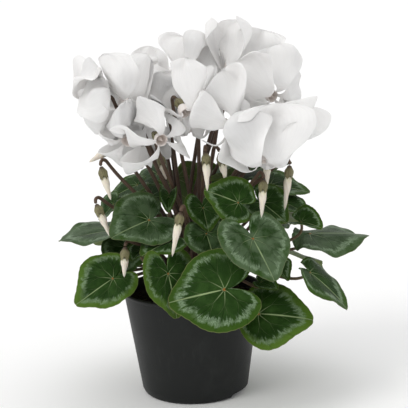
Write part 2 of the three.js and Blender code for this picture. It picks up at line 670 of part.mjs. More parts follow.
const leaves = LEAVES.map((leaf, index) => ({ ...LEAF, phase: index * LEAF_SPREAD, ...leaf }));
const blooms = BLOOMS.map((bloom, index) => ({ ...BLOOM, phase: index * BLOOM_SPREAD, ...bloom }));
const crownMiddle = (CROWN.bottom + CROWN.top) / 2;
const stalkFeet = feetFor(leaves.map((leaf) => vector(leaf.root)), STALK.ring, crownMiddle);
const flowerTops = [...blooms.map((bloom) => bloom.mouth), ...BUDS.map((bud) => bud.calyx)].map(vector);
const flowerFeet = feetFor(flowerTops, FLOWER_STEM.ring, CROWN.top - 1);
const bloomFrames = blooms.map((bloom, index) => bloomFrame(bloom, flowerFeet[index]));
const budFrames = BUDS.map((bud, index) => {
  const start = vector(bud.calyx);
  const end = vector(bud.tip);
  const axis = end.clone().sub(start).normalize();
  const calyxTop = start.clone().addScaledVector(axis, -CALYX.length - CALYX.gap);
  return { start, end, axis, stem: hookedStem(calyxTop, axis, flowerFeet[blooms.length + index]) };
});
const budStems = budFrames.map((frame) => frame.stem.centres);

addPart('pot', potGeometry(), COLOURS.pot);
addPart('soil', soilGeometry(), COLOURS.soil);
addPart('tuber', tuberGeometry(0), COLOURS.tuber);
addPart('stems', fuse([
  crownGeometry(),
  ...leaves.map((leaf, index) => stalkGeometry(leaf, stalkFeet[index])),
  ...[...bloomFrames, ...budFrames].map((frame) => stemGeometry(frame.stem, frame.axis)),
]), COLOURS.stem);
leaves.forEach((leaf, index) => addPart(numbered('leaf', index), bladeGeometry(leaf), COLOURS.leaf));
blooms.forEach((bloom, index) => {
  const planes = boundsOf(bloomFrames, budStems, index);
  addPart(numbered('bloom', index), bloomGeometry(bloom, bloomFrames[index], planes), COLOURS.petal);
});
budFrames.forEach((frame, index) => {
  addPart(numbered('bud', index), budGeometry(frame.start, frame.end), COLOURS.bud);
});

export default group;
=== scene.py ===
"""A white florist's cyclamen in its dark nursery pot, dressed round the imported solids.

Everything is in metres with +Z up and the seen side towards -Y. The tables of leaves, blooms and buds
are in millimetres, as the solids' own tables are, and MM turns them into metres.
"""

from __future__ import annotations

import logging
from collections.abc import Callable, Sequence
from dataclasses import dataclass, field
from enum import Enum

import bpy
import numpy as np
from mathutils import Matrix
from numpy.typing import NDArray


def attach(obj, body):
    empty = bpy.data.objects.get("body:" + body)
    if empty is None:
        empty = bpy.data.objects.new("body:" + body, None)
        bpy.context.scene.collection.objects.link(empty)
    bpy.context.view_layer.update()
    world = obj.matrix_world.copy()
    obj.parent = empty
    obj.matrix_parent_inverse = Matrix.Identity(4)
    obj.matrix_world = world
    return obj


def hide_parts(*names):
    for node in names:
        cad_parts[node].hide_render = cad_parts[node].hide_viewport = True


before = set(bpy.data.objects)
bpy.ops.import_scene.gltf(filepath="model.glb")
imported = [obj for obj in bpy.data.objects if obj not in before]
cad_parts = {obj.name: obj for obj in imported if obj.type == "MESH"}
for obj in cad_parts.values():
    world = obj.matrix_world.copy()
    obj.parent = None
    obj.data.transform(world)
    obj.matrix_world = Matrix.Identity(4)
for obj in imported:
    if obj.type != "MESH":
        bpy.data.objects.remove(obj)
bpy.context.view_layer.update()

Array = NDArray[np.float64]
Triple = tuple[float, float, float]
Colour = tuple[float, float, float]

LOG = logging.getLogger("cyclamen")
MM = 0.001
RADIANS = np.pi / 180.0
UP = np.array([0.0, 0.0, 1.0])
BODY = "root"


# The plant's own tables


@dataclass(frozen=True)
class LeafRow:
    """One leaf: where its stalk joins it, where its midrib ends, and how its blade bends.

    Back is the share of their full reach that the back lobes keep, and turn rolls the blade about its
    midrib, in degrees. Fold is the slope beside the midrib and cup its change on the way out. Arch
    bends the midrib down, wave ripples the margin, and lively is how green the rim is; the less of it a
    leaf has, the more painted sheen it gets. The tip is drawn out by a share of the length, over a width
    in degrees.
    """

    root: Triple
    tip: Triple
    back: float = 1.0
    turn: float = 0.0
    fold: float = 0.2
    cup: float = -0.3
    arch: float = 0.2
    wave: float = 0.03
    lively: float = 0.25
    tip_width: float = 19.0
    tip_reach: float = 0.21


@dataclass(frozen=True)
class InnerLeafRow(LeafRow):
    """A small leaf deep in the plant, with its stalk's foot as a bearing in degrees and a radius."""

    arch: float = 0.15
    lively: float = 0.1
    foot: tuple[float, float] = (0.0, 9.0)


@dataclass(frozen=True)
class BloomRow:
    """One bloom: the middle of its mouth, where it looks, and its petals' size and turn.

    Facing is the bearing that it looks along, from +X towards +Y, and dip is how far it looks down.
    Reflex is how far a petal turns back from the axis and twist how far it turns about its own
    midline. All four are in degrees.
    """

    mouth: Triple
    facing: float
    dip: float
    length: float
    width: float
    reflex: float
    twist: float = 40.0


@dataclass(frozen=True)
class InnerBloomRow(BloomRow):
    """A bloom deep in the plant, with its stem's foot as a bearing in degrees and a radius."""

    foot: tuple[float, float] = (180.0, 5.0)


@dataclass(frozen=True)
class BudRow:
    """One bud: where it leaves its calyx and where it ends."""

    calyx: Triple
    tip: Triple


LEAVES = (
    LeafRow((27, -97, 115), (-19, -99, 107), turn=-62, fold=0.12, lively=0.2),
    LeafRow((51, -84, 153), (67, -108, 124), turn=8, fold=0.1, cup=-0.15, arch=0.1, wave=0.02, lively=0.0),
    LeafRow((54, -77, 88), (99, -84, 86), back=0.6, turn=43, fold=0.1, cup=-0.35, wave=0.02, lively=0.9),
    LeafRow((-64, -61, 118), (-95, -74, 101), back=0.8, turn=-38, fold=0.32, cup=-0.4, wave=0.05, lively=0.8),
    LeafRow((-18, -82, 126), (-11, -92, 91), turn=-6, fold=0.15, cup=-0.2, arch=0.1, wave=0.02, lively=0.8),
    LeafRow((-33, -42, 162), (-63, -68, 156), turn=-36, fold=0.25, arch=0.15, lively=0.05),
    LeafRow((12, -47, 172), (16, -62, 155), fold=0.4, arch=0.1, wave=0.02),
    LeafRow((41, -62, 178), (14, -65, 191), back=0.8, turn=-55, fold=0.1, cup=0.1, arch=0.1, lively=0.45),
    LeafRow((-67, -4, 146), (-118, -16, 143), fold=0.15, wave=0.05, lively=0.0, tip_width=46, tip_reach=0.11),
    LeafRow(
        (103, -8, 138),
        (156, -14, 140),
        back=0.5,
        turn=4,
        fold=-0.08,
        cup=-0.33,
        wave=0.07,
        lively=0.0,
        tip_width=46,
        tip_reach=0.17,
    ),
    LeafRow((98, -59, 117), (132, -63, 88), back=0.4, turn=8, fold=0.13, cup=-0.34, arch=0.15, lively=0.2),
    LeafRow((72, 24, 176), (107, 20, 171), turn=12, cup=-0.2),
    LeafRow((83, 2, 164), (105, -6, 154), turn=8, fold=0.25, cup=-0.2),
    LeafRow((93, -44, 156), (109, -58, 156), turn=24, fold=0.4, cup=0.5, arch=0.3, wave=0.05),
    LeafRow((-44, 8, 183), (-71, 4, 173), back=0.6, turn=-14),
    LeafRow((-16, -36, 180), (-17, -48, 171), fold=0.5, cup=0.9, arch=0.4, wave=0.06),
    LeafRow((-15, -56, 147), (-39, -77, 142), back=0.5, turn=-10),
    LeafRow((67, -52, 126), (81, -65, 113), back=0.6, fold=0.3, cup=-0.2),
    LeafRow((-41, -52, 138), (-48, -64, 134), turn=-10, fold=0.4),
    LeafRow((62, -26, 170), (82, -40, 156), turn=30, fold=0.3, cup=-0.2),
    LeafRow((2, 64, 138), (6, 108, 118), back=0.8),
    LeafRow((-54, 48, 139), (-88, 80, 118), back=0.8),
    LeafRow((66, 54, 146), (98, 84, 130), back=0.6),
    LeafRow((-36, 74, 112), (-52, 112, 92)),
    LeafRow((38, 80, 108), (54, 118, 88), back=0.8),
    LeafRow((-68, 22, 116), (-103, 34, 99)),
    LeafRow((84, 36, 112), (120, 56, 94)),
    LeafRow((28, 36, 170), (44, 62, 184)),
    LeafRow((-34, 34, 168), (-52, 56, 184)),
    LeafRow((57, -71, 113), (71, -77, 109), back=0.6, turn=30, fold=0.5, cup=-0.2),
)

INNER_LEAVES = (
    InnerLeafRow((-56, -21, 135), (-56, -44, 117), back=0.7, turn=-14, fold=0.2, foot=(-149, 8.2)),
    InnerLeafRow((14, -60, 153), (21, -77, 132), back=0.85, turn=10, fold=0.3, foot=(-80, 9.3)),
    InnerLeafRow((-64, -9, 170), (-78, -8, 156), back=0.85, turn=-29, fold=0.4, foot=(173, 9.6)),
    InnerLeafRow((55, 26, 188), (91, 23, 198), back=1, turn=12, fold=0.2, foot=(-33, 9.4)),
    InnerLeafRow((20, 18, 145), (31, 17, 127), back=0.7, turn=11, fold=0.2, foot=(27, 8.8)),
    InnerLeafRow((49, 44, 158), (67, 70, 153), back=0.7, turn=20, fold=0.4, foot=(45, 8.8)),
    InnerLeafRow((33, -43, 140), (58, -57, 132), back=0.85, turn=-16, fold=0.3, foot=(-43, 9.5)),
    InnerLeafRow((32, 6, 188), (67, 15, 198), back=0.85, turn=-10, fold=0.4, foot=(9, 9.0)),
    InnerLeafRow((-12, 71, 177), (-10, 96, 141), back=0.7, turn=-5, fold=0.4, foot=(104, 8.7)),
    InnerLeafRow((-27, 30, 188), (-39, 54, 192), back=0.85, turn=-44, fold=0.4, foot=(79, 8.3)),
    InnerLeafRow((32, 65, 179), (39, 82, 147), back=1, turn=-33, fold=0.3, foot=(93, 10.1)),
    InnerLeafRow((-60, 10, 131), (-72, 29, 132), back=1, turn=-25, fold=0.4, foot=(131, 8.1)),
    InnerLeafRow((-67, -24, 116), (-80, -29, 96), back=0.85, turn=-19, fold=0.2, foot=(-174, 8.3)),
    InnerLeafRow((68, -23, 149), (86, -11, 149), back=0.7, turn=7, fold=0.2, foot=(-9, 9.1)),
)

BLOOMS = (
    BloomRow((-48, -58, 231), -118, 27, 54, 51, 116, twist=24),
    BloomRow((-19, -72, 233), -69, 12, 60, 39, 142, twist=44),
    BloomRow((62, -74, 213), -70, 62, 60, 51, 150, twist=20),
    BloomRow((-82, -36, 260), -180, 19, 44, 48, 140, twist=30),
    BloomRow((-49, -41, 257), -81, 59, 59, 52, 139, twist=20),
    BloomRow((1, -55, 252), -56, 37, 56, 36, 115, twist=52),
    BloomRow((37, -66, 241), -62, 10, 51, 39, 115, twist=43),
    BloomRow((3, -30, 233), -136, 78, 44, 36, 150, twist=24),
    BloomRow((85, -41, 226), -38, 18, 60, 38, 125, twist=52),
    BloomRow((73, -31, 260), -51, 20, 48, 46, 131, twist=24),
    BloomRow((39, -5, 282), -125, 65, 56, 38, 152, twist=52),
    BloomRow((8, 1, 277), -131, 50, 47, 36, 152, twist=44),
    BloomRow((-30, 3, 211), -104, 80, 45, 43, 147, twist=20),
    BloomRow((-26, 46, 256), 110, 45, 50, 42, 145, twist=40),
    BloomRow((54, 46, 260), 60, 45, 50, 42, 145, twist=40),
)

INNER_BLOOMS = (InnerBloomRow((-22, -6, 249), -100, 66, 47, 44, 148, twist=30),)

BUDS = (
    BudRow((-69, -38, 199), (-64, -42, 180)),
    BudRow((-73, -44, 169), (-65, -50, 150)),
    BudRow((-53, -70, 137), (-54, -74, 122)),
    BudRow((-8, -82, 167), (-14, -88, 141)),
    BudRow((16, -64, 212), (16, -71, 190)),
    BudRow((29, -50, 209), (32, -52, 193)),
    BudRow((61, -68, 189), (59, -72, 167)),
    BudRow((66, -40, 203), (66, -42, 188)),
    BudRow((84, -36, 194), (80, -38, 165)),
    BudRow((-69, -22, 217), (-82, -26, 210)),
    BudRow((-21, -20, 205), (-18, -22, 192)),
)


# Arithmetic on points


def smooth(value: Array | float) -> Array:
    """Ease from 0 to 1: three squares less two cubes of the value, held between 0 and 1."""
    share = np.clip(value, 0.0, 1.0)
    return share * share * (3.0 - 2.0 * share)


def unit(vectors: Array) -> Array:
    """Vectors scaled to a length of one."""
    return vectors / np.maximum(np.linalg.norm(vectors, axis=-1, keepdims=True), 1e-12)


def millimetres(triple: Triple) -> Array:
    """A table's point, given in millimetres, as metres."""
    return np.array(triple, float) * MM


def once_round(steps: int) -> Array:
    """Bearings once round in even steps, the last the same as the first so that the seam closes."""
    bearing = np.linspace(0.0, 2.0 * np.pi, steps + 1)
    bearing[-1] = 0.0
    return bearing


def bezier(points: Sequence[Array], steps: int) -> Array:
    """Points evenly along the parameter of a cubic Bezier curve.

    Args:
        points: start, start's pull, end's pull and end.
        steps: how many stretches the curve is cut into.

    Returns:
        The steps + 1 points, as the four Bernstein weights times the four given points.
    """
    along = np.linspace(0.0, 1.0, steps + 1)[:, None]
    rest = 1.0 - along
    weights = (rest**3, 3.0 * rest**2 * along, 3.0 * rest * along**2, along**3)
    return sum(weight * point for weight, point in zip(weights, points))


# Surfaces


@dataclass
class Surface:
    """Triangles in space, with named numbers on the points and a finish for each triangle."""

    points: Array
    triangles: NDArray[np.int64]
    marks: dict[str, Array] = field(default_factory=dict)
    finish: NDArray[np.int64] | None = None

    def finished(self, index: int) -> Surface:
        """The same surface with every triangle given one finish."""
        self.finish = np.full(len(self.triangles), index)
        return self


def joined(surfaces: Sequence[Surface]) -> Surface:
    """Several surfaces as one.

    Args:
        surfaces: the surfaces, all with the marks that the first one has.

    Returns:
        Their points one after another, with each one's triangles counted on from where its points start.
    """
    starts = np.cumsum([0] + [len(one.points) for one in surfaces[:-1]])
    marks = {name: np.concatenate([one.marks[name] for one in surfaces]) for name in surfaces[0].marks}
    finishes = [np.zeros(len(one.triangles), int) if one.finish is None else one.finish for one in surfaces]
    return Surface(
        np.concatenate([one.points for one in surfaces]),
        np.concatenate([one.triangles + start for one, start in zip(surfaces, starts)]),
        marks,
        np.concatenate(finishes),
    )


def grid(points: Array, marks: dict[str, Array] | None = None, flipped: bool = False) -> Surface:
    """A grid of points as triangles: each cell between four neighbours gives two.

    Args:
        points: rows by columns by three.
        marks: numbers for each point, rows by columns.
        flipped: whether the faces look the other way.

    Returns:
        The surface, open at its four borders.
    """
    rows, columns = points.shape[:2]
    index = np.arange(rows * columns).reshape(rows, columns)
    corners = (index[:-1, :-1], index[1:, :-1], index[1:, 1:], index[:-1, 1:])
    a, b, c, d = (corner.ravel() for corner in corners)
    triangles = np.concatenate([np.stack([a, b, c], 1), np.stack([a, c, d], 1)])
    if flipped:
        triangles = triangles[:, ::-1]
    flat = {name: np.broadcast_to(values, (rows, columns)).ravel() for name, values in (marks or {}).items()}
    return Surface(points.reshape(-1, 3), triangles, flat)


def welded(surface: Surface) -> Surface:
    """Points that share a place become one, and triangles left with no area go.

    Args:
        surface: a surface whose seams and poles have their points twice or more.

    Returns:
        The surface closed at them.
    """
    rounded = np.round(surface.points, 8)
    _, first, same = np.unique(rounded, axis=0, return_index=True, return_inverse=True)
    triangles = same.reshape(-1)[surface.triangles]
    kept = np.all(triangles != np.roll(triangles, 1, axis=1), axis=1)
    marks = {name: values[first] for name, values in surface.marks.items()}
    finish = None if surface.finish is None else surface.finish[kept]
    return Surface(surface.points[first], triangles[kept], marks, finish)


def grid_normals(points: Array) -> Array:
    """Each grid point's normal: the cross product of the grid's slopes along rows and columns."""
    down = np.gradient(points, axis=0)
    across = np.gradient(points, axis=1)
    return unit(np.cross(down, across))


def tube(centres: Array, radii: Array, reference: Array, sides: int, marks: dict[str, Array]) -> Surface:
    """A round tube along a line of centres.

    Each ring is the centre plus the radius times the cosine and sine of the bearing, on the reference
    direction made square to the line and on the cross product of the two. A radius of nought at
    either end closes it.

    Args:
        centres: the line's points.
        radii: the radius at each of them.
        reference: a direction that the line never runs along.
        sides: points in a ring.
        marks: numbers for each centre.

    Returns:
        The closed tube.
    """
    along = unit(np.gradient(centres, axis=0))
    across = unit(reference - along * (along @ reference)[:, None])
    other = np.cross(along, across)
    bearing = once_round(sides)[None, :, None]
    spread = across[:, None] * np.cos(bearing) + other[:, None] * np.sin(bearing)
    points = centres[:, None] + spread * radii[:, None, None]
    return welded(grid(points, {name: values[:, None] for name, values in marks.items()}, flipped=True))


def lathe(profile: Array, sides: int, marks: dict[str, Array] | None = None) -> Surface:
    """A profile turned round +Z: x and y are the radius times cosine and sine, and z is the height.

    The profile runs so that what it bounds lies on its left, up the outside and down the inside.

    Args:
        profile: radii and heights, point by point.
        sides: points in a ring.
        marks: numbers for each point of the profile.

    Returns:
        The turned surface.
    """
    bearing = once_round(sides)
    radius, height = profile[:, 0, None], profile[:, 1, None]
    points = np.stack([radius * np.cos(bearing), radius * np.sin(bearing), height + 0.0 * bearing], 2)
    return grid(points, {name: values[:, None] for name, values in (marks or {}).items()}, flipped=True)


def arc(centre: tuple[float, float], radius: float, start: float, end: float, steps: int) -> Array:
    """Points of a circular arc in a profile, from one bearing in degrees to another."""
    bearing = np.linspace(start, end, steps) * RADIANS
    return np.stack([centre[0] + radius * np.cos(bearing), centre[1] + radius * np.sin(bearing)], 1)


def placed(surface: Surface, origin: Array, axes: Sequence[Array]) -> Surface:
    """A surface drawn along +X, +Y and +Z, carried to an origin and three directions of its own."""
    surface.points = origin + surface.points @ np.array(axes)
    return surface


# Pieces


class Smoothing(Enum):
    """The angle in degrees past which an edge between two faces stays sharp."""

    SOFT = 180.0
    THIN = 70.0
    MOULDED = 35.0


def shown(thing: bpy.types.Object) -> bpy.types.Object:
    """An object linked into the scene."""
    bpy.context.scene.collection.objects.link(thing)
    return thing


def make_piece(
    name: str,
    surface: Surface,
    finishes: Sequence[bpy.types.Material],
    stands_for: str | None = None,
    smoothing: Smoothing = Smoothing.THIN,
) -> None:
    """Makes a mesh object at the origin from a surface, riding on the plant's one body.

    Args:
        name: the piece's name.
        surface: its triangles, marks and finishes.
        finishes: the materials that the finish numbers count through.
        stands_for: the node that it replaces, if any.
        smoothing: how its shading breaks at edges.
    """
    mesh = bpy.data.meshes.new(name)
    count = len(surface.triangles)
    mesh.vertices.add(len(surface.points))
    mesh.vertices.foreach_set("co", surface.points.astype(np.float32).ravel())
    mesh.loops.add(count * 3)
    mesh.loops.foreach_set("vertex_index", surface.triangles.astype(np.int32).ravel())
    mesh.polygons.add(count)
    mesh.polygons.foreach_set("loop_start", np.arange(0, count * 3, 3, dtype=np.int32))
    mesh.polygons.foreach_set("use_smooth", np.ones(count, bool))
    if surface.finish is not None:
        mesh.polygons.foreach_set("material_index", surface.finish.astype(np.int32))
    for mark, values in surface.marks.items():
        layer = mesh.attributes.new(mark, "FLOAT", "POINT")
        layer.data.foreach_set("value", values.astype(np.float32))
    mesh.update(calc_edges=True)
    mesh.validate()
    if smoothing is not Smoothing.SOFT:
        mesh.set_sharp_from_angle(angle=smoothing.value * RADIANS)
    for finish in finishes:
        mesh.materials.append(finish)
    piece = shown(bpy.data.objects.new(name, mesh))
    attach(piece, BODY)
    if stands_for:
        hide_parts(stands_for)
    LOG.info("%s: %d triangles", name, count)


# Shader arithmetic


class Signal:
    """A node's output value, on which Python's operators add Math nodes."""

    def __init__(self, recipe: Recipe, socket: bpy.types.NodeSocket) -> None:
        """Keeps the output and the material that it belongs to."""
        self.recipe = recipe
        self.socket = socket

    def maths(self, operation: str, *values: Signal | float) -> Signal:
        """One Math node.

        Args:
            operation: the node's operation.
            values: its inputs in order.

        Returns:
            Its output.
        """
        return self.recipe.signal("ShaderNodeMath", {"operation": operation}, dict(enumerate(values)))

    def __add__(self, other: Signal | float) -> Signal:
        """This plus other."""
        return self.maths("ADD", self, other)

    __radd__ = __add__

    def __mul__(self, other: Signal | float) -> Signal:
        """This times other."""
        return self.maths("MULTIPLY", self, other)

    def __sub__(self, other: Signal | float) -> Signal:
        """This less other."""
        return self.maths("SUBTRACT", self, other)

    def __rsub__(self, other: float) -> Signal:
        """Other less this."""
        return self.maths("SUBTRACT", other, self)

    def absolute(self) -> Signal:
        """This without its sign."""
        return self.maths("ABSOLUTE", self)

    def sine(self) -> Signal:
        """The sine of this, in radians."""
        return self.maths("SINE", self)

    def least(self, other: Signal | float) -> Signal:
        """The smaller of this and other."""
        return self.maths("MINIMUM", self, other)

    def most(self, other: Signal | float) -> Signal:
        """The larger of this and other."""
        return self.maths("MAXIMUM", self, other)

    def ease(self, start: Signal | float, end: Signal | float) -> Signal:
        """From 0 where this is start to 1 where it is end, eased at both."""
        inputs = {"Value": self, "From Min": start, "From Max": end}
        return self.recipe.signal("ShaderNodeMapRange", {"interpolation_type": "SMOOTHSTEP"}, inputs)


Source = Signal | bpy.types.NodeSocket | float | Sequence[float]
Inputs = dict[str | int, Source]


class Recipe:
    """A material under construction."""

    def __init__(self, name: str) -> None:
        """Starts a material with an empty tree of nodes.

        Args:
            name: the material's name.
        """
        self.material = bpy.data.materials.new(name)
        self.material.use_nodes = True
        self.tree = self.material.node_tree
        self.tree.nodes.clear()

    def node(self, kind: str, settings: dict[str, object], inputs: Inputs) -> bpy.types.Node:
        """Adds a node.

        Args:
            kind: the node's type.
            settings: its properties by their names, which are set first.
            inputs: values or links by its sockets' names or numbers.

        Returns:
            The node.
        """
        node = self.tree.nodes.new(kind)
        for name, value in settings.items():
            setattr(node, name, value)
        for key, source in inputs.items():
            if isinstance(source, Signal):
                source = source.socket
            if isinstance(source, bpy.types.NodeSocket):
                self.tree.links.new(source, node.inputs[key])
            else:
                node.inputs[key].default_value = source
        return node

    def signal(self, kind: str, settings: dict[str, object], inputs: Inputs, output: int | str = 0) -> Signal:
        """Adds a node and wraps one of its outputs."""
        return Signal(self, self.node(kind, settings, inputs).outputs[output])

    def mark(self, name: str) -> Signal:
        """A number that the piece's points carry."""
        return self.signal("ShaderNodeAttribute", {"attribute_name": name}, {}, "Fac")

    def place(self) -> bpy.types.NodeSocket:
        """The place on the object, in metres."""
        return self.node("ShaderNodeTexCoord", {}, {}).outputs["Object"]

    def vector(self, x: Source, y: Source, z: Source) -> bpy.types.NodeSocket:
        """Three numbers as a vector."""
        return self.node("ShaderNodeCombineXYZ", {}, {0: x, 1: y, 2: z}).outputs[0]

    def noise(self, place: Source, scale: float, detail: float = 3.0, roughness: float = 0.5) -> Signal:
        """Soft noise between about 0.3 and 0.7."""
        inputs = {"Vector": place, "Scale": scale, "Detail": detail, "Roughness": roughness}
        return self.signal("ShaderNodeTexNoise", {}, inputs, "Fac")

    def cells(self, place: Source, scale: float, feature: str = "F1") -> Signal:
        """The distance to the nearest of scattered points, or to the line between two."""
        inputs = {"Vector": place, "Scale": scale}
        return self.signal("ShaderNodeTexVoronoi", {"feature": feature}, inputs, "Distance")

    def blend(self, share: Source, start: Source, end: Source) -> bpy.types.NodeSocket:
        """A colour between two."""
        colours = [(*c, 1.0) if isinstance(c, tuple) else c for c in (start, end)]
        inputs = {0: share, 6: colours[0], 7: colours[1]}
        return self.node("ShaderNodeMix", {"data_type": "RGBA", "clamp_factor": True}, inputs).outputs[2]

    def bump(self, height: Signal, distance: float) -> bpy.types.NodeSocket:
        """A normal that follows a height, given in shares of a distance in metres."""
        inputs = {"Height": height, "Distance": distance, "Strength": 1.0}
        return self.node("ShaderNodeBump", {}, inputs).outputs[0]

    def surface(self, **inputs: Source) -> bpy.types.Material:
        """Ends the recipe in one Principled shader.

        Args:
            inputs: its sockets, with underscores for spaces.

        Returns:
            The material.
        """
        named = {name.replace("_", " "): value for name, value in inputs.items()}
        colour = named.get("Base Color")
        if isinstance(colour, tuple):
            named["Base Color"] = (*colour, 1.0)
        shader = self.node("ShaderNodeBsdfPrincipled", {}, named)
        self.node("ShaderNodeOutputMaterial", {}, {"Surface": shader.outputs[0]})
        return self.material


# Finishes


@dataclass(frozen=True)
class LeafFinish:
    """A leaf's two sides: a dark heart, a feathery silver band, a livelier rim and veins, a painted sheen on
    the dull leaves, and a paler back.

    The main veins run at vein_bearings, in radians from the tip, and sweep forward by vein_sweep. The
    widths, tapers, starts and ends are shares of the way from the joint to the margin.
    """

    heart: Colour = (0.012, 0.039, 0.0035)
    heart_light: Colour = (0.036, 0.086, 0.016)
    rim: Colour = (0.022, 0.062, 0.004)
    rim_lively: Colour = (0.078, 0.150, 0.018)
    silver: Colour = (0.230, 0.325, 0.200)
    vein: Colour = (0.300, 0.400, 0.190)
    edge: Colour = (0.190, 0.200, 0.080)
    joint: Colour = (0.330, 0.130, 0.030)
    # painted sheen: a grey-green that stands in for light reflected off the leaf's face
    painted_sheen: Colour = (0.150, 0.205, 0.130)
    under: Colour = (0.080, 0.125, 0.030)
    under_rim: Colour = (0.135, 0.195, 0.025)
    under_vein: Colour = (0.260, 0.280, 0.110)
    vein_bearings: tuple[float, ...] = (0.0, 0.72, 1.42, 2.25)
    vein_sweep: float = 0.34
    vein_width: float = 0.018
    vein_taper: float = 0.012
    midrib_width: float = 0.028
    midrib_taper: float = 0.015
    fork_start: float = 0.34
    fork_spread: float = 0.75
    band_start: float = 0.70
    band_end: float = 0.875
    joint_end: float = 0.050
    relief: float = 1.4 * MM

    def veins(self, share: Signal, bearing: Signal) -> tuple[Signal, Signal]:
        """The main veins and their forks.

        A main vein is where the bearing, drawn forward as it nears the margin, meets one of the
        listed bearings. A fork is where it lies beside one by an angle that grows with the share.

        Args:
            share: how far out the place is.
            bearing: its angle from the tip, in radians.

        Returns:
            Masks of the main veins and of the forks.
        """
        swept = bearing + share * share * bearing.sine() * self.vein_sweep
        apart = None
        for vein in self.vein_bearings:
            near = (swept - vein).absolute()
            apart = near if apart is None else apart.least(near)
        midrib = bearing.ease(0.14, 0.0) * (self.midrib_width - share * self.midrib_taper)
        width = self.vein_width - share * self.vein_taper + midrib
        main = (apart * share).ease(width, width * 0.3)
        off = (share - self.fork_start).most(0.0) * self.fork_spread
        fork = ((apart - off).absolute() * share).ease(0.010, 0.002) * share.ease(0.36, 0.46)
        return main, fork

    def face(self) -> bpy.types.Material:
        """The upper side, worked out from the marks that the blade's points carry.

        The silver band lies between two shares that wander with a slow noise and with streaks that
        run out from the joint. Slow patches thin it here and there, and a fine noise breaks it up.

        Returns:
            The material.
        """
        recipe = Recipe("leaf_face")
        share, bearing, mood, lively = (recipe.mark(n) for n in ("share", "bearing", "mood", "lively"))
        aside = recipe.mark("aside")
        flat = recipe.vector(recipe.mark("ahead"), aside, mood)
        flank = mood + aside.ease(-0.001, 0.001) * 7.0
        streak = recipe.noise(recipe.vector(bearing * 6.0, share * 1.3, flank), 1.5, 3.0, 0.65)
        feather = recipe.noise(recipe.vector(bearing * 22.0, share * 5.0, flank), 1.0, 3.0, 0.7)
        cloud = recipe.noise(flat, 3.6, 3.0, 0.55)
        fine = recipe.noise(flat, 38.0, 3.0, 0.7)
        main, fork = self.veins(share, bearing)
        streak_off, cloud_off, feather_off = (noise - 0.5 for noise in (streak, cloud, feather))
        inner = self.band_start + streak_off * 0.45 + cloud_off * 0.25 + feather_off * 0.36
        outer = self.band_end + streak_off * 0.20 + cloud_off * 0.20 + feather_off * 0.12
        band = share.ease(inner, inner + 0.10) * share.ease(outer + 0.02, outer - 0.05)
        patches = recipe.noise(flat, 4.6, 2.0, 0.5).ease(0.36, 0.56)
        broken = (fine.ease(0.36, 0.62) * 0.55 + 0.40) * (patches * 0.75 + 0.25)
        near_vein = recipe.noise(flat, 9.0, 3.0, 0.6).ease(0.46, 0.66) * share.ease(0.62, 0.15)
        heart = recipe.blend(near_vein * 0.45 + cloud.ease(0.40, 0.70) * 0.50, self.heart, self.heart_light)
        lush = recipe.blend(lively + (fine - 0.5) * 0.4 * lively, self.rim, self.rim_lively)
        ground = recipe.blend(share.ease(0.66, 0.92), heart, lush)
        banded = recipe.blend(band * broken * (0.95 - lively * 0.30), ground, self.silver)
        midrib = bearing.ease(0.16, 0.08)
        vivid = main * (share.ease(0.52, 0.10) * 0.70 + midrib * (0.95 - share * 0.30)).least(0.95)
        veined = recipe.blend(vivid + fork * share.ease(0.75, 0.45) * 0.18, banded, self.vein)
        edged = recipe.blend(share.ease(0.978, 0.996) * 0.6, veined, self.edge)
        # Painted sheen: leaves with little rim green get the grey-green mixed in, in cloudy patches
        sheen_painted = recipe.blend(lively.ease(0.20, 0.0) * cloud.ease(0.30, 0.60) * 0.40, edged, self.painted_sheen)
        colour = recipe.blend(share.ease(self.joint_end, 0.018), sheen_painted, self.joint)
        net = recipe.cells(flat, 26.0, "DISTANCE_TO_EDGE").ease(0.10, 0.0)
        height = cloud * 0.5 - main * 0.7 - fork * 0.4 - net * 0.10 + fine * 0.06
        return recipe.surface(
            Base_Color=colour,
            Roughness=0.46 - band * 0.05 + cloud_off * 0.2,
            Normal=recipe.bump(height, self.relief),
            Specular_IOR_Level=0.09,
        )

    def back(self) -> bpy.types.Material:
        """The underside, paler, with raised veins and a yellow-green rim, from the same marks.

        Returns:
            The material.
        """
        recipe = Recipe("leaf_back")
        share, bearing, mood = (recipe.mark(name) for name in ("share", "bearing", "mood"))
        flat = recipe.vector(recipe.mark("ahead"), recipe.mark("aside"), mood)
        cloud = recipe.noise(flat, 7.0, 4.0, 0.6)
        main, fork = self.veins(share, bearing)
        ground = recipe.blend(share.ease(0.45, 1.0) * cloud, self.under, self.under_rim)
        colour = recipe.blend(main * 0.8 + fork * 0.5, ground, self.under_vein)
        height = main + fork * 0.5 + cloud * 0.2
        return recipe.surface(
            Base_Color=colour,
            Roughness=0.6,
            Normal=recipe.bump(height, self.relief),
            Specular_IOR_Level=0.25,
        )


@dataclass(frozen=True)
class PetalFinish:
    """A white petal: fine lengthwise veins, a faint blush near the base and a soft glow through it."""

    white: Colour = (0.87, 0.86, 0.85)
    shade: Colour = (0.81, 0.795, 0.785)
    base: Colour = (0.84, 0.79, 0.77)

    def material(self) -> bpy.types.Material:
        """Works from the share along a petal and the place across it.

        Returns:
            The material.
        """
        recipe = Recipe("petal")
        share, across, mood = (recipe.mark(name) for name in ("share", "across", "mood"))
        strands = recipe.noise(recipe.vector(across * 9.0, share * 0.9, mood), 2.0, 4.0, 0.6)
        cloud = recipe.noise(recipe.vector(across, share, mood), 3.0, 2.0)
        veined = recipe.blend(strands.ease(0.45, 0.62) * 0.30 + cloud * 0.25, self.white, self.shade)
        colour = recipe.blend(share.ease(0.30, 0.05) * 0.65, veined, self.base)
        height = strands * 0.35 + cloud
        return recipe.surface(
            Base_Color=colour,
            Roughness=0.62,
            Normal=recipe.bump(height, 0.6 * MM),
            Subsurface_Weight=0.6,
            Subsurface_Radius=(1.0, 0.97, 0.94),
            Subsurface_Scale=4 * MM,
            Specular_IOR_Level=0.2,
        )


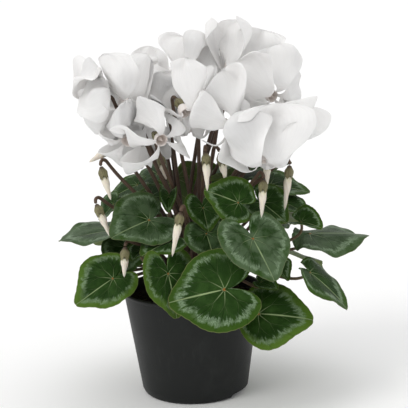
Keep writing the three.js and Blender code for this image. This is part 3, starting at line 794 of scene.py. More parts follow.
@dataclass(frozen=True)
class ThroatFinish:
    """The flower's throat: pale rose, and darker deep in its mouth."""

    rose: Colour = (0.82, 0.77, 0.74)
    dark: Colour = (0.50, 0.42, 0.37)

    def material(self) -> bpy.types.Material:
        """Darkens towards the bottom of the throat.

        Returns:
            The material.
        """
        recipe = Recipe("throat")
        share = recipe.mark("share")
        mottled = recipe.noise(recipe.place(), 900.0, 2.0)
        colour = recipe.blend(share + (mottled - 0.5) * 0.5, self.dark, self.rose)
        return recipe.surface(Base_Color=colour, Roughness=0.6, Normal=recipe.bump(mottled, 0.3 * MM))


@dataclass(frozen=True)
class StalkFinish:
    """A fleshy stalk: its low colour below and its high colour above and in patches, with dark pores."""

    name: str
    low: Colour
    high: Colour
    streak: Colour = (0.035, 0.016, 0.010)

    def material(self) -> bpy.types.Material:
        """Works from how far up the stalk a place is.

        Returns:
            The material.
        """
        recipe = Recipe(self.name)
        share, mood = recipe.mark("share"), recipe.mark("mood")
        speckle = recipe.noise(recipe.place(), 1400.0, 3.0, 0.6)
        patches = recipe.noise(recipe.vector(share * 6.0, mood, 0.0), 1.5, 2.0)
        ground = recipe.blend(share.ease(0.25, 1.0), self.low, self.high)
        patched = recipe.blend(patches.ease(0.45, 0.65) * 0.5, ground, self.high)
        colour = recipe.blend(speckle.ease(0.48, 0.66) * 0.55, patched, self.streak)
        return recipe.surface(
            Base_Color=colour,
            Roughness=0.5,
            Normal=recipe.bump(speckle, 0.3 * MM),
            Specular_IOR_Level=0.4,
        )


@dataclass(frozen=True)
class CalyxFinish:
    """A calyx: olive sepals with brown streaks, darker at the neck."""

    olive: Colour = (0.23, 0.22, 0.10)
    brown: Colour = (0.060, 0.035, 0.020)

    def material(self) -> bpy.types.Material:
        """Works from the share along the calyx and the bearing round it.

        Returns:
            The material.
        """
        recipe = Recipe("calyx")
        share, around, mood = (recipe.mark(name) for name in ("share", "around", "mood"))
        streaks = recipe.noise(recipe.vector(around * 9.0, share * 1.5, mood), 1.4, 4.0, 0.7)
        mixed = streaks.ease(0.38, 0.62) * 0.7 + share.ease(0.5, 0.0)
        colour = recipe.blend(mixed, self.olive, self.brown)
        return recipe.surface(Base_Color=colour, Roughness=0.55, Normal=recipe.bump(streaks, 0.4 * MM))


@dataclass(frozen=True)
class BudFinish:
    """A furled bud: cream petals, greenish at the calyx, with a rosy tinge along the rolled edges."""

    cream: Colour = (0.83, 0.77, 0.66)
    green: Colour = (0.62, 0.62, 0.40)
    rose: Colour = (0.70, 0.55, 0.50)

    def material(self) -> bpy.types.Material:
        """Works from the share along the bud and the place across each furled petal.

        Returns:
            The material.
        """
        recipe = Recipe("bud")
        share, across, mood = (recipe.mark(name) for name in ("share", "across", "mood"))
        strands = recipe.noise(recipe.vector(across * 6.0, share * 2.0, mood), 1.8, 3.0)
        greened = recipe.blend(share.ease(0.30, 0.0) * 0.6, self.cream, self.green)
        colour = recipe.blend(across.ease(0.75, 1.0) * 0.5 + strands.ease(0.5, 0.7) * 0.2, greened, self.rose)
        return recipe.surface(
            Base_Color=colour,
            Roughness=0.55,
            Normal=recipe.bump(strands, 0.4 * MM),
            Subsurface_Weight=0.25,
            Subsurface_Radius=(1.0, 0.8, 0.6),
            Subsurface_Scale=3 * MM,
        )


@dataclass(frozen=True)
class PotFinish:
    """Matt charcoal plastic with a fine moulded grain, faint drawn lines and paler scuffed patches."""

    charcoal: Colour = (0.0100, 0.0113, 0.0108)
    scuffed: Colour = (0.028, 0.031, 0.029)

    def material(self) -> bpy.types.Material:
        """Works on object coordinates.

        Returns:
            The material.
        """
        recipe = Recipe("pot_plastic")
        place = recipe.place()
        grain = recipe.noise(place, 2600.0, 2.0)
        cloud = recipe.noise(place, 28.0, 4.0, 0.6)
        stretched = recipe.node("ShaderNodeMapping", {}, {"Vector": place, "Scale": (1.0, 1.0, 0.12)})
        drawn = recipe.noise(stretched.outputs[0], 260.0, 3.0, 0.6)
        worn = cloud.ease(0.5, 0.75) * 0.35 + drawn.ease(0.55, 0.75) * 0.25
        colour = recipe.blend(worn, self.charcoal, self.scuffed)
        height = grain * 0.5 + drawn * 0.5
        return recipe.surface(
            Base_Color=colour,
            Roughness=0.50 + (cloud - 0.5) * 0.3,
            Normal=recipe.bump(height, 0.1 * MM),
            Specular_IOR_Level=0.22,
        )


@dataclass(frozen=True)
class SoilFinish:
    """Damp peat: near-black crumbs with brown fibres."""

    peat: Colour = (0.012, 0.008, 0.005)
    fibre: Colour = (0.075, 0.045, 0.026)

    def material(self) -> bpy.types.Material:
        """Works on object coordinates.

        Returns:
            The material.
        """
        recipe = Recipe("peat")
        place = recipe.place()
        crumbs = recipe.cells(place, 420.0)
        fibres = recipe.noise(place, 300.0, 5.0, 0.7)
        colour = recipe.blend(fibres.ease(0.45, 0.72), self.peat, self.fibre)
        height = fibres - crumbs * 0.6
        return recipe.surface(Base_Color=colour, Roughness=0.95, Normal=recipe.bump(height, 1.2 * MM))


@dataclass(frozen=True)
class TuberFinish:
    """Corky brown skin with pale cracks."""

    skin: Colour = (0.075, 0.044, 0.026)
    crack: Colour = (0.190, 0.130, 0.080)

    def material(self) -> bpy.types.Material:
        """Works on object coordinates.

        Returns:
            The material.
        """
        recipe = Recipe("tuber_skin")
        place = recipe.place()
        cracks = recipe.cells(place, 260.0, "DISTANCE_TO_EDGE").ease(0.08, 0.0)
        mottled = recipe.noise(place, 160.0, 4.0, 0.65)
        colour = recipe.blend(cracks * 0.6 + mottled.ease(0.5, 0.7) * 0.3, self.skin, self.crack)
        height = mottled - cracks
        return recipe.surface(Base_Color=colour, Roughness=0.9, Normal=recipe.bump(height, 0.8 * MM))


# The pot and what fills it


@dataclass
class Pot:
    """The tapered nursery pot: a drawn wall with a rolled rim, a notched foot ring, a pad and drains."""

    height: float = 93 * MM
    rim_radius: float = 60 * MM
    foot_radius: float = 46 * MM
    wall: float = 1.8 * MM
    lip: float = 1.2 * MM
    lip_height: float = 3.5 * MM
    foot_height: float = 4 * MM
    foot_ring: float = 9 * MM
    floor: float = 2 * MM
    pad: float = 13 * MM
    pad_bevel: float = 0.5 * MM
    ring_bevel: float = 0.4 * MM
    rim_bevel: float = 0.5 * MM
    notches: tuple[float, ...] = (-27.0, 153.0)
    notch_span: float = 37.0
    holes: int = 4
    hole_radius: float = 3.5 * MM
    hole_ring: float = 27 * MM
    sides: int = 240

    def wall_radius(self, height: Array | float) -> Array | float:
        """The outside's radius at a height: it grows evenly from the foot's to the rim's."""
        return self.foot_radius + (self.rim_radius - self.foot_radius) * height / self.height

    def profiles(self) -> list[Array]:
        """The pot's section in three runs, which leave out the two rings of floor that hold the drains.

        Returns:
            The pad from its middle out and up, the ring, outside, rim and inside, and the floor's middle.
        """
        bevel = self.foot_height
        shoulder = self.height - self.lip_height
        inner = self.foot_radius - self.foot_ring
        top = self.rim_radius + self.lip
        floor_top = self.foot_height + self.floor
        pad = [
            (0.0, 0.0),
            (self.pad - self.pad_bevel, 0.0),
            (self.pad, self.pad_bevel),
            (self.pad, self.foot_height),
        ]
        ring = [(inner, self.foot_height), (inner, self.ring_bevel), (inner + self.ring_bevel, 0.0)]
        corner = arc((self.foot_radius - bevel, bevel), bevel, -90, -12, 9)
        up = np.linspace(bevel * 1.1, shoulder, 24)
        outside = np.stack([self.wall_radius(up), up], 1)
        band = [
            (self.wall_radius(shoulder) + self.lip * 0.8, shoulder + 0.5 * MM),
            (self.wall_radius(shoulder) + self.lip, shoulder + 1.2 * MM),
        ]
        roll = arc((top - self.lip, self.height - self.lip), self.lip, 0, 90, 6)
        inside = [
            (self.rim_radius - self.wall + self.rim_bevel, self.height),
            (self.rim_radius - self.wall, self.height - self.rim_bevel),
            (self.wall_radius(floor_top) - self.wall, floor_top),
            (inner, floor_top),
        ]
        middle = [(self.pad, floor_top), (0.0, floor_top)]
        return [np.array(pad), np.concatenate([ring, corner, outside, band, roll, inside]), np.array(middle)]

    def drain(self, number: int) -> Surface:
        """One drain with the part of the floor round it.

        The floor's part is bounded by two arcs and two straight sides. From each point of that
        outline rows run in to the hole's circle, down through the floor and out again below.

        Args:
            number: which of the drains.

        Returns:
            The surface, open along its outlines.
        """
        steps = self.sides // self.holes
        inner, outer = self.pad, self.foot_radius - self.foot_ring
        turns = (np.arange(steps + 1) + number * steps) * 2.0 * np.pi / self.sides
        out = np.linspace(inner, outer, 13)[1:-1]
        first, last = np.full(len(out) + 1, turns[0]), np.full(len(out), turns[-1])
        near, far = np.full(steps + 1, inner), np.full(steps + 1, outer)
        bearing = np.concatenate([turns, last, turns[::-1], first])
        radius = np.concatenate([near, out, far, out[::-1], [inner]])
        outline = np.stack([radius * np.cos(bearing), radius * np.sin(bearing)], 1)
        outline[bearing == 2.0 * np.pi, 1] = 0.0
        middle = (number + 0.5) * 2.0 * np.pi / self.holes
        centre = self.hole_ring * np.array([np.cos(middle), np.sin(middle)])
        circle = centre + self.hole_radius * unit(outline - centre)
        share = np.linspace(0.0, 1.0, 5)[:, None, None]
        flat = outline * (1.0 - share) + circle * share
        low, high = self.foot_height, self.foot_height + self.floor
        below = np.concatenate([flat, np.full((*flat.shape[:2], 1), low)], 2)
        above = np.concatenate([flat[::-1], np.full((*flat.shape[:2], 1), high)], 2)
        return grid(np.concatenate([below, above]), flipped=True)

    def notch(self, bearing: Array, radius: Array) -> Array:
        """How far the foot ring is cut away: the foot's height between a notch's two ends.

        Args:
            bearing: the points' bearings in radians.
            radius: their distances from the axis.

        Returns:
            The height that each point is lifted to.
        """
        depth = np.zeros_like(bearing)
        for middle in self.notches:
            off = np.abs((bearing / RADIANS - middle + 180.0) % 360.0 - 180.0)
            depth = np.maximum(depth, smooth((self.notch_span / 2 - off) / 1.6 + 0.5))
        inner = self.foot_radius - self.foot_ring
        return depth * self.foot_height * 0.95 * (radius > inner - 0.1 * MM)

    def make(self) -> None:
        """Builds the pot: lathed runs and drains, with the foot ring's points lifted in the notches."""
        turned = [lathe(profile, self.sides) for profile in self.profiles()]
        surface = joined([*turned, *(self.drain(number) for number in range(self.holes))])
        radius = np.hypot(surface.points[:, 0], surface.points[:, 1])
        bearing = np.arctan2(surface.points[:, 1], surface.points[:, 0])
        lifted = np.maximum(surface.points[:, 2], self.notch(bearing, radius))
        surface.points[:, 2] = np.where(surface.points[:, 2] < self.foot_height, lifted, surface.points[:, 2])
        make_piece("nursery_pot", welded(surface), [PotFinish().material()], "pot", Smoothing.MOULDED)


@dataclass
class Compost:
    """The peat that fills the pot, with loose crumbs on top, and the tuber half sunk in it."""

    pot: Pot
    top: float = 82 * MM
    bottom: float = 6.4 * MM
    gap: float = 0.4 * MM
    lump: float = 1.1 * MM
    tuber_radius: float = 25 * MM
    tuber_half: float = 15 * MM
    tuber_top: float = 96 * MM
    tuber_mean: float = 0.975
    tuber_lump: float = 0.02
    crumbs: int = 420
    seed: int = 11

    def height(self, x: Array, y: Array) -> Array:
        """The soil's height: the top plus crossed waves of a few lengths, the shortest the lowest.

        Args:
            x: places to the right.
            y: places away from the seen side.

        Returns:
            The height at each place.
        """
        right, far = x / MM, y / MM
        long = np.sin(right * 0.29 + 1.0) * np.sin(far * 0.33) + 0.6 * np.sin(right * 0.61 - far * 0.52)
        short = np.sin(right * 1.7 + 2 * np.sin(far * 0.9)) * np.sin(far * 1.9 + 2 * np.sin(right * 1.1))
        fine = np.sin(right * 4.1 + 3 * np.sin(far * 2.3)) * np.sin(far * 3.7 + 3 * np.sin(right * 2.9))
        return self.top + self.lump * (long + 0.35 * short + 0.22 * fine)

    def make_soil(self) -> None:
        """The soil: rings of its top, then its edge and its foot inside the pot's wall."""
        edge = self.pot.wall_radius(self.top) - self.pot.wall - self.gap
        foot = self.pot.wall_radius(self.bottom) - self.pot.wall - self.gap
        bearing = once_round(180)
        radius = np.linspace(0.0, edge, 64)[:, None]
        x, y = radius * np.cos(bearing), radius * np.sin(bearing)
        inward = smooth((edge - radius) / (4 * MM))
        z = self.top + (self.height(x, y) - self.top) * inward
        top = np.stack([x, y, z], 2)
        ring = np.stack([np.cos(bearing), np.sin(bearing), 0.0 * bearing], 1)[None]
        side = ring * foot + UP * self.bottom
        middle = ring * 0.0 + UP * self.bottom
        surface = welded(grid(np.concatenate([top, side, middle])))
        loose = self.loose_crumbs(edge)
        make_piece("compost", joined([surface, loose]), [SoilFinish().material()], "soil")

    def loose_crumbs(self, edge: float) -> Surface:
        """Loose crumbs: one lump of twelve points, stretched, jittered, sized and set down at random.

        Args:
            edge: the soil's radius.

        Returns:
            The crumbs, each closed, with its middle a little above the soil.
        """
        rng = np.random.default_rng(self.seed)
        golden = (1 + 5**0.5) / 2
        signs = np.array([(i, j) for i in (-1, 1) for j in (-1, 1)])
        flat = np.stack([0.0 * signs[:, 0], signs[:, 0], signs[:, 1] * golden], 1)
        lump = unit(np.concatenate([np.roll(flat, turn, axis=1) for turn in range(3)]))
        near = np.linalg.norm(lump[:, None] - lump[None], axis=2) < 1.2
        trios = [
            (a, b, c)
            for a in range(12)
            for b in range(a + 1, 12)
            for c in range(b + 1, 12)
            if near[a, b] and near[b, c] and near[a, c]
        ]
        faces = np.array(trios)
        normals = np.cross(lump[faces[:, 1]] - lump[faces[:, 0]], lump[faces[:, 2]] - lump[faces[:, 0]])
        inward = np.sum(normals * lump[faces[:, 0]], 1) < 0
        faces[inward] = faces[inward][:, ::-1]
        away = np.sqrt(rng.uniform(0.25, 1.0, self.crumbs)) * (edge - 2.5 * MM)
        bearing = rng.uniform(0, 2 * np.pi, self.crumbs)
        x, y = away * np.cos(bearing), away * np.sin(bearing)
        size = rng.uniform(0.4, 1.5, self.crumbs) * MM
        stretch = rng.uniform(0.5, 1.0, (self.crumbs, 1, 3))
        jitter = rng.uniform(0.75, 1.2, (self.crumbs, 12, 1))
        centres = np.stack([x, y, self.height(x, y) + size * 0.3], 1)
        points = lump[None] * stretch * jitter * size[:, None, None] + centres[:, None]
        starts = np.arange(self.crumbs)[:, None, None] * 12
        return Surface(points.reshape(-1, 3), (faces[None] + starts).reshape(-1, 3))

    def make_tuber(self) -> None:
        """The tuber: a flattened ball whose radius swells and sinks with crossed waves."""
        tilt = np.linspace(-90.0, 90.0, 61) * RADIANS
        around = once_round(120)
        lumps = self.tuber_mean + self.tuber_lump * np.sin(3 * around)[None] * np.cos(tilt)[:, None]
        lumps = lumps + self.tuber_lump * np.sin(5 * around + 1.0)[None] * np.sin(2 * tilt)[:, None] ** 2
        x = self.tuber_radius * lumps * np.cos(tilt)[:, None] * np.cos(around)
        y = self.tuber_radius * lumps * np.cos(tilt)[:, None] * np.sin(around)
        z = self.tuber_top - self.tuber_half + self.tuber_half * np.sin(tilt)[:, None] + 0.0 * x
        surface = welded(grid(np.stack([x, y, z], 2), flipped=True))
        make_piece("corm", surface, [TuberFinish().material()], "tuber", Smoothing.SOFT)

    def make(self) -> None:
        """Builds the soil and the tuber."""
        self.make_soil()
        self.make_tuber()


# Leaves


@dataclass
class Blade:
    """One leaf blade: its row of the table, its number, and the frame that it is drawn in.

    The margin reaches out by body, leans towards the tip by lean, and is roughened by the shares
    scallop and waver. The back lobes draw in from lobe_start over lobe_span, in degrees from the tip,
    and the notch cuts in by the share notch_depth over notch_width degrees. Waves is how often the
    margin ripples, and quilt how far the blade swells between its veins.
    """

    row: LeafRow
    number: int
    waves: int = 5
    body: float = 0.74
    lean: float = 0.05
    lobe_start: float = 60.0
    lobe_span: float = 90.0
    notch_depth: float = 0.88
    notch_width: float = 20.0
    scallop: float = 0.012
    waver: float = 0.015
    quilt: float = 0.012

    def __post_init__(self) -> None:
        """Works out the blade's root, length and three directions."""
        self.root = millimetres(self.row.root)
        along = millimetres(self.row.tip) - self.root
        self.length = float(np.linalg.norm(along))
        self.along = along / self.length
        level = unit(np.cross(UP, self.along))
        upright = np.cross(self.along, level)
        turn = self.row.turn * RADIANS
        self.across = level * np.cos(turn) + upright * np.sin(turn)
        self.normal = np.cross(self.along, self.across)
        self.phase = (self.number - 1) * 2.4

    def reach(self, angle: Array) -> Array:
        """The margin's distance from the root towards an angle, as a share of the length.

        It is nearly round, drawn out at the tip by a bell curve, drawn in at the back lobes and cut
        in by another bell curve where the stalk joins, with fine scallops and a slow waver.

        Args:
            angle: bearings from the tip, in radians.

        Returns:
            The reach at each bearing.
        """
        from_tip = np.abs(np.arctan2(np.sin(angle), np.cos(angle))) / RADIANS
        point = self.row.tip_reach * np.exp(-((from_tip / self.row.tip_width) ** 2))
        body = self.body + self.lean * np.cos(angle) + point
        lobes = 1.0 - (1.0 - self.row.back) * smooth((from_tip - self.lobe_start) / self.lobe_span)
        notch = self.notch_depth * np.exp(-(((180.0 - from_tip) / self.notch_width) ** 2))
        scallops = self.scallop * np.abs(np.sin(17.0 * angle + 0.6 * np.sin(3 * angle))) - 0.008
        waver = self.waver * np.sin(3.0 * angle + self.phase) * np.sin(angle / 2) ** 2
        return body * lobes * (1.0 - notch) * (1.0 + scallops + waver)

    def points(self, share: Array, angle: Array) -> Array:
        """Places on the blade.

        The flat place is the share of the margin's reach along the angle. Across the midrib the
        blade's slope turns evenly by cup from fold, along the midrib it bends down by arch, and
        towards the margin it ripples by wave. Between the veins the blade swells a little.

        Args:
            share: how far out each place is, 0 at the root and 1 at the margin.
            angle: its bearing from the tip, in radians.

        Returns:
            The places in metres.
        """
        row = self.row
        reach = share * self.reach(angle)
        side, ahead = np.abs(reach * np.sin(angle)), reach * np.cos(angle)
        lift = row.fold + row.cup * side
        half = (np.sin(lift) - np.sin(row.fold)) / row.cup
        rise = (np.cos(row.fold) - np.cos(lift)) / row.cup
        ripple = row.wave * share**3 * np.sin(self.waves * angle + self.phase)
        frill = 0.25 * row.wave * smooth((share - 0.75) / 0.25) * np.sin(13.0 * angle + 2.0 * self.phase)
        quilt = self.quilt * np.abs(np.sin(angle * 2.6)) * smooth(share * 2.5) * smooth((1.0 - share) * 4.0)
        rise = rise + ripple + frill + quilt
        bend = row.arch * ahead
        out = np.sin(bend) / row.arch + rise * np.sin(bend)
        up = -(1.0 - np.cos(bend)) / row.arch + rise * np.cos(bend)
        across = half * np.sign(np.sin(angle))
        parts = ((out, self.along), (across, self.across), (up, self.normal))
        return self.root + self.length * sum(value[..., None] * axis for value, axis in parts)


@dataclass
class Foliage:
    """Every leaf blade: two faces that meet in a thin margin, with a plainer grid deep in the plant."""

    thickness: float = 0.6 * MM
    fine: tuple[int, int] = (22, 136)
    plain: tuple[int, int] = (14, 84)

    def surface(self, blade: Blade, counts: tuple[int, int]) -> Surface:
        """One blade's closed surface, its face with finish 0 and its back with finish 1.

        Each face stands off the middle surface along its normal by half the thickness, which
        thins to nothing at the margin and at the root.

        Args:
            blade: the blade.
            counts: how many rings and bearings its grid has.

        Returns:
            The closed surface.
        """
        rings, bearings = counts
        share = np.linspace(0.0, 1.0, rings)[:, None] ** 0.9
        angle = np.linspace(-np.pi, np.pi, bearings + 1)[None, :]
        middle = blade.points(share, angle)
        middle[:, -1] = middle[:, 0]
        normal = grid_normals(blade.points(np.maximum(share, 0.03), angle))
        normal[:, 0] = normal[:, -1] = unit(normal[:, 0] + normal[:, -1])
        half = self.thickness / 2 * np.sqrt(np.clip(1.0 - share**6, 0.0, 1.0)) * smooth(share * 12.0)
        reach = share * blade.reach(angle)
        marks = {
            "share": share + 0.0 * angle,
            "bearing": np.abs(angle) + 0.0 * share,
            "ahead": reach * np.cos(angle),
            "aside": reach * np.sin(angle),
            "mood": np.full_like(reach, blade.phase),
            "lively": np.full_like(reach, blade.row.lively),
        }
        face = grid(middle + normal * half[..., None], marks).finished(0)
        back = grid(middle - normal * half[..., None], marks, flipped=True).finished(1)
        return welded(joined([face, back]))

    def make(self) -> None:
        """Builds the blades and gives each its face and its back."""
        finishes = [LeafFinish().face(), LeafFinish().back()]
        for number, row in enumerate(LEAVES, 1):
            surface = self.surface(Blade(row, number), self.fine)
            make_piece(f"leaf_blade_{number:02d}", surface, finishes, f"leaf_{number:02d}")
        for number, row in enumerate(INNER_LEAVES, 1):
            surface = self.surface(Blade(row, len(LEAVES) + number), self.plain)
            make_piece(f"inner_leaf_{number:02d}", surface, finishes)


# Stems, calyces, blooms and buds


def feet_for(tops: Array, ring: float, height: float) -> Array:
    """Feet evenly round the crown, in the order in which the tops stand round the plant.

    Args:
        tops: the points that the stalks rise to.
        ring: the radius of the circle that the feet stand on.
        height: the height of the feet.

    Returns:
        One foot for each top.
    """
    order = np.argsort(np.arctan2(tops[:, 1], tops[:, 0]), kind="stable")
    place = np.empty(len(tops))
    place[order] = np.arange(len(tops))
    angle = 2.0 * np.pi * place / len(tops) - np.pi
    return np.stack([ring * np.cos(angle), ring * np.sin(angle), np.full(len(tops), height)], 1)


@dataclass
class HookedStem:
    """A flower stem: it rises from the crown, hooks over and meets the calyx along the flower's axis.

    Its centres are the line of its tube, and its chords are the few points that its solid follows.
    """

    calyx_top: Array
    axis: Array
    foot: Array
    hook: float = 5 * MM
    foot_radius: float = 1.8 * MM
    neck_radius: float = 1.4 * MM
    foot_pull: float = 0.4
    hook_pull: float = 0.35

    def __post_init__(self) -> None:
        """Works out the stem's line: a Bezier curve, then an arc in the plane of axis and foot."""
        to_foot = self.foot - self.calyx_top
        self.inward = unit(to_foot - self.axis * (to_foot @ self.axis))
        rising = -unit(to_foot)
        turn = np.arctan2(-(rising @ self.inward), rising @ self.axis)
        centre = self.calyx_top + self.inward * self.hook
        angle = np.linspace(turn, 0.0, 13)[:, None]
        arc_points = centre - self.hook * (self.inward * np.cos(angle) + self.axis * np.sin(angle))
        away = self.axis * np.cos(turn) - self.inward * np.sin(turn)
        start = arc_points[0]
        reach = np.linalg.norm(start - self.foot)
        pulls = (self.foot + UP * reach * self.foot_pull, start - away * reach * self.hook_pull)
        rise = bezier((self.foot, *pulls, start), 26)
        self.centres = np.concatenate([rise, arc_points[1:]])
        self.chords = np.concatenate([bezier((self.foot, *pulls, start), 3), arc_points[4::4]])

    def surface(self, mood: float) -> Surface:
        """The stem's tube, thinning evenly from the foot to the neck and closed at both ends.

        Args:
            mood: a number that sets this stem apart.

        Returns:
            The closed tube.
        """
        share = np.linspace(0.0, 1.0, len(self.centres))
        radii = self.foot_radius + (self.neck_radius - self.foot_radius) * share
        radii = radii * (1.0 + 0.03 * np.sin(share * 37.0 + mood))
        radii[0] = radii[-1] = 0.0
        side = np.cross(self.axis, self.inward)
        marks = {"share": share, "mood": np.full_like(share, mood)}
        return tube(self.centres, radii, side, 12, marks)


@dataclass
class Calyx:
    """A calyx: a small cup round the flower's base, drawn out into five pointed sepals."""

    length: float = 9 * MM
    neck: float = 1.5 * MM
    widest: float = 3.9 * MM
    widest_at: float = 0.62
    mouth: float = 3.5 * MM
    sepals: int = 5
    point: float = 0.45
    wall: float = 0.35 * MM

    def surface(self, top: Array, axis: Array, inward: Array, mood: float) -> Surface:
        """The calyx: outside and inside meet in the sepals' edges.

        The radius grows from the neck to its widest, at about six tenths, and draws in to the mouth. A
        sepal's edge lies further out by the point's share of the length, where a five-fold saw peaks.

        Args:
            top: where the stem ends.
            axis: the way that the flower looks.
            inward: the direction towards the stem's foot.
            mood: a number that sets this calyx apart.

        Returns:
            The closed surface.
        """
        share = np.linspace(0.0, 1.0, 15)[:, None]
        around = once_round(40)[None, :]
        lobes = (1.0 - np.abs(2.0 * ((around * self.sepals / (2 * np.pi)) % 1.0) - 1.0)) ** 0.8
        reach = share * (1.0 + self.point * lobes * smooth((share - 0.35) / 0.65) - 0.12)
        swell = self.neck + (self.widest - self.neck) * smooth(reach / self.widest_at)
        radius = swell + (self.mouth - self.widest) * smooth((reach - self.widest_at) / 0.4)
        radius = radius * (1.0 + 0.05 * np.cos(around * self.sepals) * smooth(share * 2))
        layers = []
        for offset, flipped in ((0.0, True), (self.wall, False)):
            size = np.maximum(radius - offset * smooth((1.0 - share) * 8), 0.0) * smooth(share * 14)
            depth = self.length * reach + offset * smooth((1.0 - share) * 8) * smooth(1.0 - share * 3)
            points = np.stack([size * np.cos(around), size * np.sin(around), depth + 0.0 * around], 2)
            marks = {"share": share, "around": around, "mood": np.full_like(reach, mood)}
            layers.append(grid(points, marks, flipped=flipped))
        cup = welded(joined(layers))
        return placed(cup, top, (inward, np.cross(axis, inward), axis))


@dataclass
class Bud:
    """A furled bud: a spindle whose radius steps down at five edges that wind round it.

    In millimetres, the spindle's radius is stout at the calyx, grows by swell and shrinks by taper.
    Round it runs a saw with a tooth for each petal: it rises over the share climb of a tooth, drops
    over the rest, adds up to the share step to the radius, and winds by so many teeth along the bud.
    """

    row: BudRow
    stem: HookedStem
    stout: float = 2.9
    swell: float = 0.5
    taper: float = 2.3
    petals: int = 5
    wind: float = 2.6
    climb: float = 0.86
    step: float = 0.16
    closing_from: float = 0.86

    def surface(self, mood: float) -> Surface:
        """The bud along its line from calyx to tip, closed at both ends.

        Args:
            mood: a number that sets this bud apart.

        Returns:
            The closed surface.
        """
        start = millimetres(self.row.calyx)
        length = float(np.linalg.norm(millimetres(self.row.tip) - start))
        share = np.linspace(0.0, 1.0, 37)[:, None]
        around = once_round(60)[None, :]
        tooth = (around * self.petals / (2 * np.pi) + share * self.wind + mood) % 1.0
        saw = np.where(tooth < self.climb, tooth / self.climb, (1.0 - tooth) / (1.0 - self.climb))
        swollen = self.swell * np.sin(np.pi * np.clip(share / 0.5, 0, 1))
        spindle = self.stout + swollen - self.taper * share**1.5
        past = smooth((share - self.closing_from) / (1.0 - self.closing_from))
        closing = np.sqrt(np.clip(1.0 - past, 0.0, 1.0)) * np.clip(share * 40, 0, 1)
        radius = spindle * MM * closing * (0.9 + self.step * saw * smooth(share * 6))
        points = np.stack([radius * np.cos(around), radius * np.sin(around), share * length + 0 * around], 2)
        marks = {"share": share, "across": saw, "mood": np.full_like(saw, mood)}
        bud = welded(grid(points, marks, flipped=True))
        side = np.cross(self.stem.axis, self.stem.inward)
        return placed(bud, start, (self.stem.inward, side, self.stem.axis))


